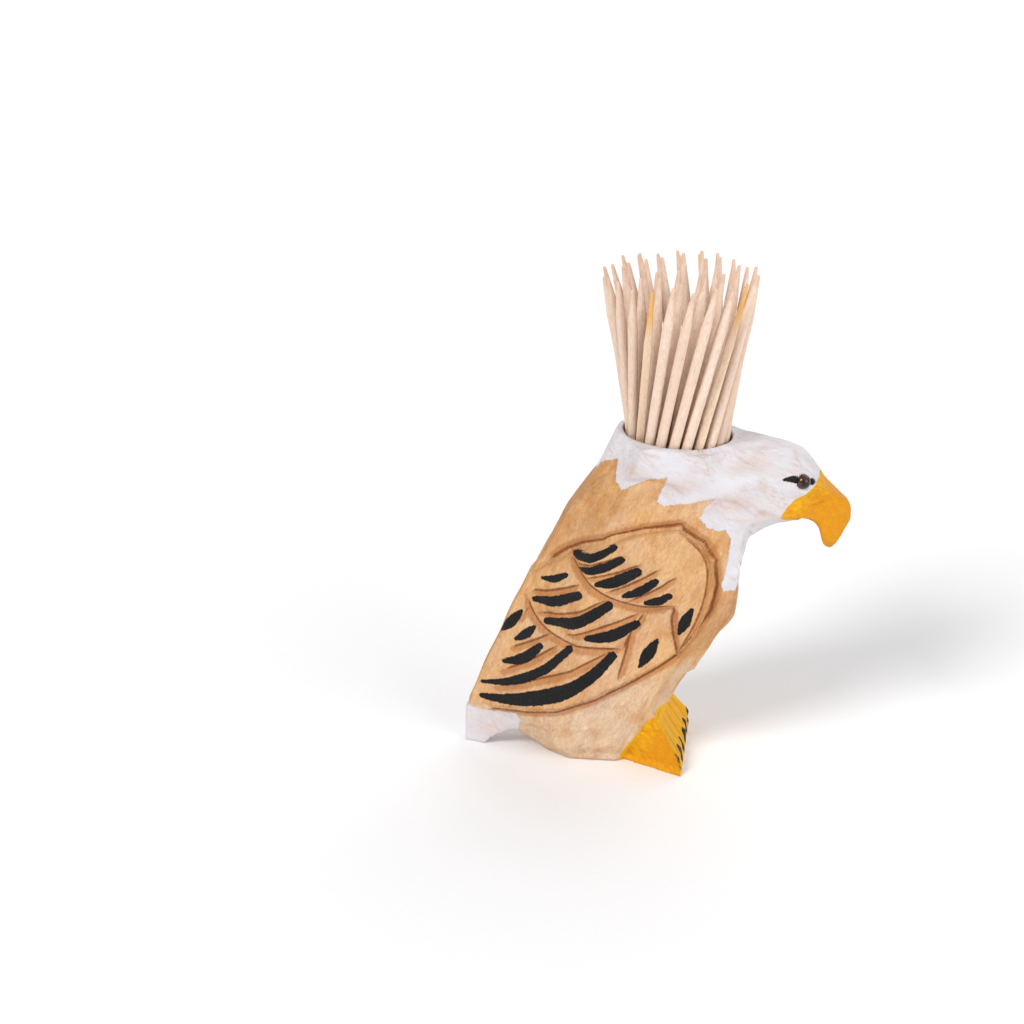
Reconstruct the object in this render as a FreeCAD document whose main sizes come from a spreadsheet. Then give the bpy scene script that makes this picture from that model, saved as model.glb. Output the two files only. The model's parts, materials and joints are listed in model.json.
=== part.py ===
"""Toothpick dispenser: an eagle carved from one block of wood, with a bore full of picks.

The bird faces +X, its left wing is on +Y and +Z is up. The origin lies on the table, under the
axis of the bore. All lengths are in millimetres and all angles in degrees.
"""
import FreeCAD, Part
import math
import os
import Sketcher

Vector = FreeCAD.Vector

# ---------------------------------------------------------------- driving sizes

# The block's horizontal sections, from the table up to the rim. Each is an octagon that is the
# same on both sides: a flat breast in front, flat flanks and a narrow spine behind.
#   rise: height above the section below     front, back: reach from the bore's axis
#   flank: half width                        breast, spine: half width of the end flats
# The rim's front, back and flank are counted from the bore's wall instead of its axis.
#   front_run, back_run: length of the slope from an end flat to the flank
TORSO_LEVELS = {
    "sole": dict(rise=0.0, front=-7.0, back=25.0, flank=7.4, breast=4.5, spine=4.0,
                 front_run=4.0, back_run=5.0),
    "keel": dict(rise=3.0, front=-4.5, back=30.0, flank=9.3, breast=5.0, spine=4.0,
                 front_run=5.0, back_run=7.0),
    "wing_tip": dict(rise=5.5, front=-1.5, back=41.2, flank=9.9, breast=5.0, spine=1.2,
                     front_run=5.0, back_run=18.0),
    "haunch": dict(rise=8.0, front=2.2, back=37.9, flank=10.6, breast=5.5, spine=1.2,
                   front_run=6.0, back_run=19.0),
    "breast": dict(rise=16.0, front=12.1, back=31.0, flank=11.0, breast=8.0, spine=1.8,
                   front_run=4.5, back_run=14.0),
    "crop": dict(rise=8.0, front=13.2, back=27.2, flank=11.1, breast=9.8, spine=2.0,
                 front_run=3.5, back_run=12.5),
    "shoulder": dict(rise=11.5, front=14.4, back=21.6, flank=11.6, breast=9.0, spine=3.6,
                     front_run=4.0, back_run=9.0),
    "nape": dict(rise=8.0, front=12.5, back=15.6, flank=12.1, breast=8.5, spine=4.6,
                 front_run=4.0, back_run=7.0),
    "rim": dict(rise=8.2, front=0.9, back=1.1, flank=1.9, breast=6.5, spine=3.6,
                front_run=6.0, back_run=6.0),
}

# The head's upright sections, from inside the neck out to the root of the beak.
#   step: distance forward of the section before     crown, chin: height of top and underside
#   cheek: half width                                crown_flat, chin_flat: half widths there
#   brow_drop, jaw_lift: height of the slope above and below the cheek
HEAD_STATIONS = {
    "neck": dict(step=2.0, crown=67.6, chin=45.0, cheek=12.0, crown_flat=9.0, chin_flat=8.0,
                 brow_drop=3.0, jaw_lift=5.0),
    "crest": dict(step=9.5, crown=67.3, chin=47.5, cheek=11.0, crown_flat=6.0, chin_flat=6.5,
                  brow_drop=5.0, jaw_lift=5.0),
    "brow": dict(step=8.5, crown=66.7, chin=51.0, cheek=8.2, crown_flat=3.0, chin_flat=5.0,
                 brow_drop=4.2, jaw_lift=2.5),
    "face": dict(step=4.5, crown=65.0, chin=52.3, cheek=6.4, crown_flat=2.2, chin_flat=4.0,
                 brow_drop=3.2, jaw_lift=2.0),
    "forehead": dict(step=2.7, crown=62.4, chin=54.0, cheek=4.8, crown_flat=1.8, chin_flat=3.2,
                     brow_drop=2.4, jaw_lift=1.5),
    "cere": dict(step=1.0, crown=60.0, chin=56.0, cheek=3.4, crown_flat=1.5, chin_flat=2.5,
                 brow_drop=1.5, jaw_lift=1.0),
}

# The notches between feathers, as lines in side view that both wings share.
#   x, z: where the line starts, forward of the bore's axis and above the table
#   run, rise: way to its end        bow: how far its middle lies to the right of that way
FEATHER_CUTS = {
    "covert_1": {"x": -18.4, "z": 43.8, "run": 9.4, "rise": 3.0, "bow": 0.5},
    "covert_2": {"x": -16.4, "z": 41.6, "run": 10.6, "rise": 3.4, "bow": 0.5},
    "covert_3": {"x": -12.2, "z": 38.9, "run": 10.0, "rise": 5.4, "bow": 0.6},
    "covert_4": {"x": -8.0, "z": 37.3, "run": 8.9, "rise": 5.4, "bow": 0.6},
    "secondary_1": {"x": -28.4, "z": 34.8, "run": 10.2, "rise": 4.6, "bow": 0.5},
    "secondary_2": {"x": -26.4, "z": 31.0, "run": 13.8, "rise": 5.9, "bow": 0.7},
    "secondary_3": {"x": -20.4, "z": 28.6, "run": 14.4, "rise": 6.0, "bow": 0.7},
    "primary_1": {"x": -34.4, "z": 25.0, "run": 5.4, "rise": 6.0, "bow": 0.2},
    "primary_2": {"x": -33.4, "z": 21.7, "run": 9.2, "rise": 5.7, "bow": 0.3},
    "primary_3": {"x": -37.0, "z": 15.6, "run": 14.6, "rise": 10.0, "bow": 0.9},
    "primary_4": {"x": -38.8, "z": 12.1, "run": 27.4, "rise": 13.9, "bow": 1.4},
    "long_1": {"x": 0.7, "z": 35.9, "run": 0.5, "rise": -9.0, "bow": 0.9},
    "long_2": {"x": -7.2, "z": 30.8, "run": -3.0, "rise": -10.8, "bow": 0.3},
}

SIZES = {
    # the bore that holds the picks; its width follows from the bundle
    "bore_depth": 31.0,
    "rim_tilt": 3.4,
    # the beak: places on its side view, as reach forward of the bore's axis and height
    "beak_root_x": 27.8, "beak_root_z": 59.6,
    "beak_bridge_x": 33.0, "beak_bridge_z": 55.7,
    "beak_front_x": 33.9, "beak_front_z": 51.6,
    "beak_tip_x": 30.4, "beak_tip_z": 45.4,
    "beak_hook_x": 28.6, "beak_hook_z": 46.1,
    "beak_throat_x": 27.9, "beak_throat_z": 49.2,
    "beak_lip_x": 25.4, "beak_lip_z": 52.3,
    "beak_corner_x": 21.2, "beak_corner_z": 53.4,
    "beak_cheek_x": 20.3, "beak_cheek_z": 54.6,
    "beak_front_radius": 5.0,
    "beak_lip_radius": 3.4,
    "beak_cheek_half": 8.3,
    "beak_ridge_half": 0.9,
    "beak_point_half": 1.0,
    "beak_mouth_half": 4.2,
    # the tail under the wing tips
    "tail_end": 42.3,
    "tail_end_half": 1.6,
    "tail_heel": 38.3,
    "tail_root": 24.0,
    "tail_root_half": 7.6,
    "tail_height": 7.6,
    "tail_arch_x": 31.5, "tail_arch_z": 4.4,
    # the foot block
    "foot_front": 2.8,
    "foot_half": 12.8,
    "foot_heel": 9.5,
    "foot_heel_half": 6.2,
    "claw_edge": 3.1,
    "ankle_rise": 9.5,
    "ankle_front": 3.2,
    "ankle_half": 9.0,
    "ankle_heel_half": 5.0,
    "toe_groove": 0.7,
    # the wings: three tiers of feathers, each standing prouder than the next one down
    "primary_relief": 0.6,
    "secondary_relief": 0.5,
    "covert_relief": 0.5,
    "feather_cut_depth": 0.35,
    "feather_cut_width": 0.9,
    "wing_tip_x": 44.0, "wing_tip_z": 7.6,
    "wing_heel_x": 21.0, "wing_heel_z": 11.6,
    "wing_elbow_x": 1.4, "wing_elbow_z": 25.6,
    "wing_wrist_x": 8.3, "wing_wrist_z": 44.0,
    "wing_shoulder_x": 1.8, "wing_shoulder_z": 52.6,
    "wing_back_x": 31.0, "wing_back_z": 36.2,
    "wing_heel_radius": 60.0,
    "wing_elbow_radius": 60.0,
    "wing_wrist_radius": 24.0,
    "wing_shoulder_radius": 12.0,
    "wing_top_radius": 60.0,
    "covert_top_x": 20.0, "covert_top_z": 47.5,
    "covert_end_x": 0.9, "covert_end_z": 36.2,
    "covert_radius": 16.5,
    "secondary_top_x": 28.2, "secondary_top_z": 40.5,
    "secondary_end_x": 8.3, "secondary_end_z": 27.4,
    "secondary_fold_x": 4.6, "secondary_fold_z": 35.6,
    "secondary_radius": 16.0,
    # the eyes
    "eye_back": 0.1,
    "eye_height": 61.0,
    "bead_radius": 1.45,
    "bead_sink": 0.3,
    "bead_seat": 0.9,
    "peg_radius": 0.55,
    "peg_length": 3.0,
    "glue_gap": 0.06,
    # the picks
    "pick_length": 65.0,
    "pick_length_spread": 1.6,
    "pick_radius": 1.0,
    "pick_taper": 8.0,
    "pick_point_radius": 0.28,
    "pick_clearance": 0.25,
    # the bundle: rings of picks that stand on the bore's floor, twist and flare
    "core_radius": 4.38,
    "ring_gap": 0.14,
    "slot_gap": 0.27,
    "bundle_twist_angle": 82.0,
    "bundle_flare_ratio": 1.65,
    "tip_wander": 0.2,
    # the bamboo picks among them
    "knotted_length": 58.0,
    "knot_head_length": 4.0,
    "knot_neck_length": 1.6,
    "knot_neck_radius": 0.65,
    "knot_spacing": 5.2,
    "sliver_length": 64.0,
    "sliver_width": 1.7,
    "sliver_thickness": 0.9,
    "sliver_taper": 12.0,
    "sliver_point": 0.5,
}

TOES = 6

# Picks in each ring of the bundle, from the middle outwards, and the places that hold bamboo
# instead of plain wood, counted from the outer ring inwards.
RING_SLOTS = (10, 16, 23)
KNOTTED_SLOT = 3
SLIVER_SLOTS = (1, 12, 17)

# Steps of this share of a turn never fall into line.
GOLDEN = (math.sqrt(5) - 1) / 2

TABLES = {"torso": TORSO_LEVELS, "head": HEAD_STATIONS, "feather": FEATHER_CUTS}

doc = FreeCAD.newDocument("toothpick_dispenser")
sheet = doc.addObject("Spreadsheet::Sheet", "Sizes")


def fill_sheet():
    """Writes every driving size into the spreadsheet, under its own alias."""
    rows = dict(SIZES)
    for form, table in TABLES.items():
        for entry, sizes in table.items():
            for size, number in sizes.items():
                rows[f"{form}_{entry}_{size}"] = number
    for row, (alias, number) in enumerate(rows.items(), start=1):
        sheet.set(f"A{row}", alias.replace("_", " "))
        sheet.set(f"B{row}", str(number))
        sheet.setAlias(f"B{row}", alias)
    doc.recompute()
    last = len(rows) + 1
    sheet.set(f"A{last}", "bore radius")
    sheet.set(f"B{last}", f"{bore_radius():.3f}")
    sheet.setAlias(f"B{last}", "bore_radius")
    doc.recompute()


def value(expression):
    """The number that an expression over the sheet gives."""
    return float(sheet.evalExpression(expression))


def cell(alias):
    """The sheet's cell, as an expression writes it."""
    return f"Sizes.{alias}"


RIM_HEIGHT = " + ".join(cell(f"torso_{level}_rise") for level in TORSO_LEVELS)


# ---------------------------------------------------------------- the bundle's rings


def spread(share):
    """A ring's width at a share of the picks' height, as a multiple of its width below.

    A ring's top is its foot turned by the twist and widened by the flare. A ring between
    them is their mean, weighted by the height.
    """
    flare = value(cell("bundle_flare_ratio"))
    twist = math.radians(value(cell("bundle_twist_angle")))
    return math.sqrt((1 - share) ** 2 + (flare * share) ** 2
                     + 2 * flare * share * (1 - share) * math.cos(twist))


def ring_radii():
    """The rings' radii on the bore's floor, each wide enough for its picks side by side.

    The rings are narrowest at a waist near the floor, which sets the room between picks.
    """
    thickness = 2 * value(cell("pick_radius"))
    waist = min(spread(step / 100) for step in range(101))
    pitch = (thickness + value(cell("ring_gap"))) / waist
    spacing = (thickness + value(cell("slot_gap"))) / waist
    radii = []
    for slots in RING_SLOTS:
        beyond_last = radii[-1] + pitch if radii else value(cell("core_radius"))
        radii.append(max(beyond_last, spacing / 2 / math.sin(math.pi / slots)))
    return radii


def bore_radius():
    """The bore's radius: the outer ring fits it on the floor and at the rim."""
    mouth = max(1, spread(value(cell("bore_depth")) / value(cell("pick_length"))))
    margin = value(cell("pick_radius")) + value(cell("pick_clearance"))
    return ring_radii()[-1] * mouth + margin


# ---------------------------------------------------------------- sketches


def plane(body, role):
    """One of a body's own origin planes."""
    return next(f for f in body.Origin.OriginFeatures if f.Role == role)


def arc_between(start, end, radius):
    """Minor arc from start to end: it bulges to the right of the way for a positive radius."""
    chord = end - start
    to_right = Vector(chord.y, -chord.x, 0).normalize()
    depth = math.sqrt(radius ** 2 - (chord.Length / 2) ** 2)
    side = math.copysign(1, radius)
    centre = (start + end) / 2 - to_right * depth * side
    first, last = (start, end) if side > 0 else (end, start)
    angles = [math.atan2(p.y - centre.y, p.x - centre.x) for p in (first, last)]
    return Part.ArcOfCircle(Part.Circle(centre, Vector(0, 0, 1), abs(radius)), *angles)


def outline(body, name, role, corners, arcs=None, offset=None, tilt=None):
    """Closed sketch through corners, each a pair of expressions, on one of the body's planes.

    arcs maps the number of a side to its radius expression, with a minus sign in front for a
    hollow one. Solid outlines run anticlockwise, so that an arc bulges outwards.
    """
    sketch = body.newObject("Sketcher::SketchObject", name)
    sketch.AttachmentSupport = (plane(body, role), [""])
    sketch.MapMode = "FlatFace"
    if offset:
        sketch.setExpression("AttachmentOffset.Base.z", offset)
    if tilt:
        sketch.AttachmentOffset = FreeCAD.Placement(Vector(), FreeCAD.Rotation(Vector(0, 1, 0), 1))
        sketch.setExpression("AttachmentOffset.Rotation.Angle", tilt)
    arcs = arcs or {}
    points = [Vector(value(x), value(y), 0) for x, y in corners]
    ends = []
    for side, start in enumerate(points):
        end = points[(side + 1) % len(points)]
        if side in arcs:
            radius = value(arcs[side])
            sketch.addGeometry(arc_between(start, end, radius), False)
            ends.append((1, 2) if radius > 0 else (2, 1))
        else:
            sketch.addGeometry(Part.LineSegment(start, end), False)
            ends.append((1, 2))
    for side, (first, last) in enumerate(ends):
        follower = (side + 1) % len(ends)
        sketch.addConstraint(Sketcher.Constraint("Coincident", side, last,
                                                 follower, ends[follower][0]))
    for corner, (x, y) in enumerate(corners):
        for kind, letter, expression in (("DistanceX", "x", x), ("DistanceY", "y", y)):
            number = sketch.addConstraint(Sketcher.Constraint(
                kind, -1, 1, corner, ends[corner][0], value(expression)))
            sketch.renameConstraint(number, f"{letter}{corner}")
            sketch.setExpression(f"Constraints.{letter}{corner}", expression)
    for side, expression in arcs.items():
        number = sketch.addConstraint(Sketcher.Constraint("Radius", side, abs(value(expression))))
        sketch.renameConstraint(number, f"radius{side}")
        sketch.setExpression(f"Constraints.radius{side}", expression.lstrip("-"))
    return sketch


def mirrored(half):
    """A whole outline from the corners on its +Y half, each (along the middle, across it)."""
    return half + [(along, f"-({across})") for along, across in reversed(half)]


def loft(body, name, sections):
    """Straight-sided loft through the sections, as a knife leaves the wood."""
    feature = body.newObject("PartDesign::AdditiveLoft", name)
    feature.Profile = sections[0]
    feature.Sections = sections[1:]
    feature.Ruled = True
    return feature


def slab(body, name, sketch, half_width):
    """Pad to both sides of the sketch's plane."""
    pad = body.newObject("PartDesign::Pad", name)
    pad.Profile = sketch
    pad.SideType = "Symmetric"
    pad.setExpression("Length", f"2 * ({half_width})")
    return pad


def new_body(name):
    """An empty body."""
    return doc.addObject("PartDesign::Body", name)


def combine(kind, name, shapes):
    """Fusion or common of several shapes."""
    feature = doc.addObject(kind, name)
    feature.Shapes = shapes
    return feature


def cut(name, base, tool):
    """What is left of the base once the tool's shape is taken away."""
    feature = doc.addObject("Part::Cut", name)
    feature.Base = base
    feature.Tool = tool
    return feature


# ---------------------------------------------------------------- the carved block


def torso(name, relief="0"):
    """The block from the table to the rim; relief makes it that much prouder all round."""
    body = new_body(name)
    sections = []
    height = "0"
    for level in TORSO_LEVELS:
        size = {key: cell(f"torso_{level}_{key}") for key in TORSO_LEVELS[level]}
        height = f"{height} + {size['rise']}"
        margin = f"{relief} + {cell('bore_radius')}" if level == "rim" else relief
        front, back = f"{size['front']} + {margin}", f"-({size['back']} + {margin})"
        flank = f"{size['flank']} + {margin}"
        half = [
            (front, size["breast"]),
            (f"{front} - {size['front_run']}", flank),
            (f"{back} + {size['back_run']}", flank),
            (back, size["spine"]),
        ]
        tilt = cell("rim_tilt") if level == "rim" else None
        sections.append(outline(body, f"{name}_{level}", "XY_Plane", mirrored(half),
                                offset=height, tilt=tilt))
    loft(body, f"{name}_loft", sections)
    return body


def head():
    """The head, lofted forward from inside the neck to the root of the beak."""
    body = new_body("head")
    sections = []
    reach = "0"
    for station in HEAD_STATIONS:
        size = {key: cell(f"head_{station}_{key}") for key in HEAD_STATIONS[station]}
        reach = f"{reach} + {size['step']}"
        half = [
            (size["crown_flat"], size["crown"]),
            (size["cheek"], f"{size['crown']} - {size['brow_drop']}"),
            (size["cheek"], f"{size['chin']} + {size['jaw_lift']}"),
            (size["chin_flat"], size["chin"]),
        ]
        corners = half + [(f"-{across}", up) for across, up in reversed(half)]
        sections.append(outline(body, f"head_{station}", "YZ_Plane", corners, offset=reach))
    loft(body, "head_loft", sections)
    return body


def beak():
    """The hooked beak, as it is sawn out: side view, plan and front view in common."""
    half_width = cell("beak_cheek_half")
    hook = new_body("beak_hook")
    names = ("root", "cheek", "corner", "lip", "throat", "hook", "tip", "front", "bridge")
    corners = [(cell(f"beak_{n}_x"), cell(f"beak_{n}_z")) for n in names]
    arcs = {3: f"-{cell('beak_lip_radius')}", 7: cell("beak_front_radius")}
    side_view = outline(hook, "beak_side_view", "XZ_Plane", corners, arcs=arcs)
    slab(hook, "beak_slab", side_view, half_width)
    wedge = new_body("beak_wedge")
    plan = outline(wedge, "beak_plan", "XY_Plane", mirrored([
        (cell("beak_front_x"), cell("beak_ridge_half")),
        (cell("beak_cheek_x"), half_width)]))
    slab(wedge, "beak_wedge_slab", plan, cell("beak_root_z"))
    bill = new_body("beak_bill")
    half = [(half_width, cell("beak_root_z")), (half_width, cell("beak_corner_z")),
            (cell("beak_mouth_half"), cell("beak_throat_z")),
            (cell("beak_point_half"), cell("beak_tip_z"))]
    front_view = outline(bill, "beak_front_view", "YZ_Plane",
                         half + [(f"-{across}", up) for across, up in reversed(half)])
    slab(bill, "beak_bill_slab", front_view, cell("beak_front_x"))
    return combine("Part::MultiCommon", "beak", [hook, wedge, bill])


def tail():
    """The tail, which stands on the table under the wing tips and narrows to its end."""
    side = new_body("tail_side")
    top, arch = cell("tail_height"), cell("tail_arch_z")
    corners = [
        (f"-{cell('tail_root')}", top),
        (f"-{cell('tail_end')}", top),
        (f"-{cell('tail_end')}", "0"),
        (f"-{cell('tail_heel')}", "0"),
        (f"-{cell('tail_arch_x')}", arch),
        (f"-{cell('tail_root')}", arch),
    ]
    slab(side, "tail_side_slab", outline(side, "tail_side_view", "XZ_Plane", corners),
         cell("tail_root_half"))
    wedge = new_body("tail_wedge")
    plan = outline(wedge, "tail_plan", "XY_Plane", mirrored([
        (f"-{cell('tail_root')}", cell("tail_root_half")),
        (f"-{cell('tail_end')}", cell("tail_end_half"))]))
    slab(wedge, "tail_wedge_slab", plan, top)
    return combine("Part::MultiCommon", "tail", [side, wedge])


def foot():
    """The foot block: a fan that spreads from the belly to the row of claws."""
    body = new_body("foot")
    toes = mirrored([(cell("foot_front"), cell("foot_half")),
                     (f"-{cell('foot_heel')}", cell("foot_heel_half"))])
    ankle = mirrored([(f"-{cell('ankle_front')}", cell("ankle_half")),
                      (f"-{cell('foot_heel')}", cell("ankle_heel_half"))])
    claw_edge = cell("claw_edge")
    loft(body, "foot_loft", [
        outline(body, "foot_sole", "XY_Plane", toes),
        outline(body, "foot_claws", "XY_Plane", toes, offset=claw_edge),
        outline(body, "foot_ankle", "XY_Plane", ankle,
                offset=f"{claw_edge} + {cell('ankle_rise')}"),
    ])
    return body


def toe_grooves():
    """V-shaped cuts that part the toes, fanned over the foot's sloping top from the ankle."""
    claw_edge = value(cell("claw_edge"))
    cutters = []
    for number in range(1, TOES):
        share = 2 * number / TOES - 1
        ankle = Vector(-value(cell("ankle_front")), share * value(cell("ankle_half")),
                       claw_edge + value(cell("ankle_rise")))
        claw = Vector(value(cell("foot_front")), share * value(cell("foot_half")), claw_edge)
        rod = doc.addObject("Part::Prism", f"toe_groove_{number}")
        rod.Polygon = 4
        rod.setExpression("Circumradius", cell("toe_groove"))
        rod.Height = 2 * (claw - ankle).Length
        rod.Placement = FreeCAD.Placement(ankle, FreeCAD.Rotation(Vector(0, 0, 1), claw - ankle))
        cutters.append(rod)
    return cutters


def side_outline(name, corners, arcs):
    """Slab over the whole width of the block with the given side view."""
    body = new_body(name)
    sketch = outline(body, f"{name}_side", "XZ_Plane", corners, arcs=arcs)
    slab(body, f"{name}_slab", sketch, f"2 * {cell('torso_nape_flank')}")
    return body


def feather_notches():
    """The notches between feathers as one cutter: leaf-shaped slabs across the whole bird."""
    half = f"{cell('feather_cut_width')} / 2"
    slabs = []
    for name in FEATHER_CUTS:
        x, z, run, rise, bow = (cell(f"feather_{name}_{size}")
                                for size in ("x", "z", "run", "rise", "bow"))
        length = f"sqrt({run} ^ 2 + {rise} ^ 2)"

        def beside_middle(reach):
            return (f"{x} + {run} / 2 + {rise} * ({reach}) / {length}",
                    f"{z} + {rise} / 2 - {run} * ({reach}) / {length}")

        slabs.append(side_outline(f"notch_{name}", [
            (x, z), beside_middle(f"{bow} + {half}"), (f"{x} + {run}", f"{z} + {rise}"),
            beside_middle(f"{bow} - {half}")], {}))
    return combine("Part::MultiFuse", "feather_notches", slabs)


def wings():
    """Both folded wings, as three tiers that lie on the block like shingles.

    Each tier is notched between its feathers, down to a floor that follows its surface.
    """
    def at(place, sign="-"):
        return (f"{sign}{cell(place + '_x')}", cell(place + "_z"))

    wing = side_outline("wing_side", [
        at("wing_tip"), at("wing_heel"), at("wing_elbow", ""), at("wing_wrist", ""),
        at("wing_shoulder", ""), at("wing_back")],
        {0: cell("wing_heel_radius"), 1: cell("wing_elbow_radius"),
         2: cell("wing_wrist_radius"), 3: cell("wing_shoulder_radius"),
         4: cell("wing_top_radius")})
    above = f"{cell('wing_shoulder_z')} + {cell('covert_top_z')}"
    ahead = f"{cell('wing_wrist_x')} + {cell('covert_top_x')}"
    covert = side_outline("covert_side", [
        at("covert_top"), at("covert_end", ""), at("wing_elbow", ""), (ahead, "0"),
        (ahead, above), (f"-{cell('covert_top_x')}", above)],
        {0: cell("covert_radius")})
    secondary = side_outline("secondary_side", [
        at("secondary_top"), at("secondary_end"), at("secondary_fold"), at("covert_end", ""),
        (cell("covert_end_x"), above), (f"-{cell('secondary_top_x')}", above)],
        {0: cell("secondary_radius")})
    primary_relief = cell("primary_relief")
    secondary_relief = f"({primary_relief} + {cell('secondary_relief')})"
    covert_relief = f"({secondary_relief} + {cell('covert_relief')})"
    tiers = [
        ("primaries", primary_relief, [wing]),
        ("secondaries", secondary_relief, [wing, secondary]),
        ("coverts", covert_relief, [wing, covert]),
    ]
    notches = feather_notches()
    carved = []
    for name, relief, sides in tiers:
        tier = combine("Part::MultiCommon", name, [torso(f"{name}_skin", relief)] + sides)
        floor = torso(f"{name}_floor", f"{relief} - {cell('feather_cut_depth')}")
        carved.append(cut(f"{name}_carved", tier, cut(f"{name}_notches", notches, floor)))
    return carved


def drill(name, radius, depth):
    """A round cutter with its mouth at its own origin, pointing down -Z."""
    cutter = doc.addObject("Part::Cylinder", name)
    cutter.setExpression("Radius", radius)
    cutter.setExpression("Height", depth)
    return cutter


def eye_places():
    """Where each eye's seat lies: placements whose +Z points out of the cheek."""
    brow_x = value(" + ".join(cell(f"head_{s}_step") for s in ("neck", "crest", "brow")))
    step = value(cell("head_face_step"))
    brow, face = value(cell("head_brow_cheek")), value(cell("head_face_cheek"))
    slope = (face - brow) / step
    along = step - value(cell("eye_back"))
    places = {}
    for side, sign in (("left", 1), ("right", -1)):
        point = Vector(brow_x + along, sign * (brow + slope * along), value(cell("eye_height")))
        outward = Vector(-slope, sign, 0)
        places[side] = FreeCAD.Placement(point, FreeCAD.Rotation(Vector(0, 0, 1), outward))
    return places


def carved_body():
    """The whole carving, with its bore, eye sockets and toe grooves cut."""
    blank = combine("Part::MultiFuse", "carving",
                    [torso("torso"), head(), beak(), tail(), foot()] + wings())
    bore = drill("bore", cell("bore_radius"), f"2 * {cell('bore_depth')}")
    bore.setExpression("Placement.Base.z", f"{RIM_HEIGHT} - {cell('bore_depth')}")
    cutters = [bore] + toe_grooves()
    seat = cell("bead_seat")
    for side, place in eye_places().items():
        recess = drill(f"socket_{side}", f"{cell('bead_radius')} + {cell('glue_gap')}",
                       f"{seat} + {cell('bead_radius')}")
        peg_depth = value(f"{seat} + {cell('peg_length')} + {cell('glue_gap')}")
        peg_hole = drill(f"peg_hole_{side}", f"{cell('peg_radius')} + {cell('glue_gap')}",
                         f"{seat} + {cell('peg_length')} + {cell('glue_gap')}")
        recess.Placement = place * FreeCAD.Placement(Vector(0, 0, -value(seat)),
                                                     FreeCAD.Rotation())
        peg_hole.Placement = place * FreeCAD.Placement(Vector(0, 0, -peg_depth),
                                                       FreeCAD.Rotation())
        cutters += [recess, peg_hole]
    carving = cut("carved", blank, combine("Part::MultiFuse", "cuts", cutters))
    carving.Label = "carved_body"
    return carving


# ---------------------------------------------------------------- eyes and picks


def turned(name, half_profile, arcs=None):
    """A body turned about its own Z axis; half_profile starts and ends on the axis."""
    body = new_body(name)
    sketch = outline(body, f"{name}_profile", "XZ_Plane", half_profile, arcs=arcs)
    turning = body.newObject("PartDesign::Revolution", f"{name}_turning")
    turning.Profile = sketch
    turning.ReferenceAxis = (sketch, ["V_Axis"])
    turning.Angle = 360
    body.Label = name
    return body


def eye(name, place):
    """A round bead with a flat back, on a peg that is glued into the head."""
    seat, sink, bead = cell("bead_seat"), cell("bead_sink"), cell("bead_radius")
    peg, peg_end = cell("peg_radius"), f"-({seat} + {cell('peg_length')})"
    back = f"sqrt({bead} ^ 2 - ({seat} - {sink}) ^ 2)"
    body = turned(name, [("0", peg_end), (peg, peg_end), (peg, f"-{seat}"), (back, f"-{seat}"),
                         ("0", f"{bead} - {sink}")], arcs={3: bead})
    body.Placement = place
    return body


def bundle():
    """The axis of each pick, from the outer ring inwards: (start, way).

    The picks stand on the bore's floor on rings about its axis. Their tops are the same
    rings, twisted and flared, so that straight picks lie side by side without crossing.
    Each tip strays a little along its ring.
    """
    height, flare = value(cell("pick_length")), value(cell("bundle_flare_ratio"))
    floor = value(f"{RIM_HEIGHT} - {cell('bore_depth')} + {cell('pick_clearance')}")
    vertical = Vector(0, 0, 1)
    twist = FreeCAD.Rotation(vertical, value(cell("bundle_twist_angle")))
    axes = []
    rings = list(zip(ring_radii(), RING_SLOTS))
    for ring, (radius, slots) in enumerate(reversed(rings)):
        for slot in range(slots):
            stray = value(cell("tip_wander")) * (2 * math.modf(len(axes) * GOLDEN)[0] - 1)
            turn = FreeCAD.Rotation(vertical, 360 * (slot + ring * GOLDEN) / slots)
            foot_point = turn.multVec(Vector(radius, 0, 0))
            top = twist.multVec(turn.multVec(Vector(flare * radius, stray, height)))
            axes.append((foot_point + Vector(0, 0, floor), (top - foot_point).normalize()))
    return axes


def plain_pick(name, number):
    """A round wooden pick with a long point at each end."""
    shortfall = f"{cell('pick_length_spread')} * {math.modf(number * GOLDEN)[0]:.3f}"
    length = f"({cell('pick_length')} - {shortfall})"
    shaft, point, taper = cell("pick_radius"), cell("pick_point_radius"), cell("pick_taper")
    return turned(name, [("0", "0"), (point, "0"), (shaft, taper), (shaft, f"{length} - {taper}"),
                         (point, length), ("0", length)])


def knotted_pick(name):
    """A bamboo pick, pointed below, with turned knots under a blunt head."""
    shaft, point, taper = cell("pick_radius"), cell("pick_point_radius"), cell("pick_taper")
    neck, groove = cell("knot_neck_radius"), cell("knot_neck_length")
    top = cell("knotted_length")
    profile = [("0", "0"), (point, "0"), (shaft, taper)]
    for knot in (2, 1):
        middle = f"({top} - {cell('knot_head_length')} - ({knot} - 1) * {cell('knot_spacing')})"
        profile += [(shaft, f"{middle} - {groove}"), (neck, f"{middle} - {groove} / 2"),
                    (shaft, middle)]
    profile += [(shaft, top), ("0", top)]
    return turned(name, profile)


def sliver(name):
    """A flat strip of split bamboo, narrowed to a blunt point at both ends."""
    body = new_body(name)

    def strip(part, width, thickness, offset):
        return outline(body, f"{name}_{part}", "XY_Plane", mirrored([
            (f"{width} / 2", f"{thickness} / 2"), (f"-{width} / 2", f"{thickness} / 2")]),
            offset=offset)

    width, thickness = cell("sliver_width"), cell("sliver_thickness")
    point, length, taper = cell("sliver_point"), cell("sliver_length"), cell("sliver_taper")
    loft(body, f"{name}_loft", [
        strip("foot", point, point, "0"),
        strip("lower", width, thickness, taper),
        strip("upper", width, thickness, f"{length} - {taper}"),
        strip("tip", point, point, length)])
    body.Label = name
    return body


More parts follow.
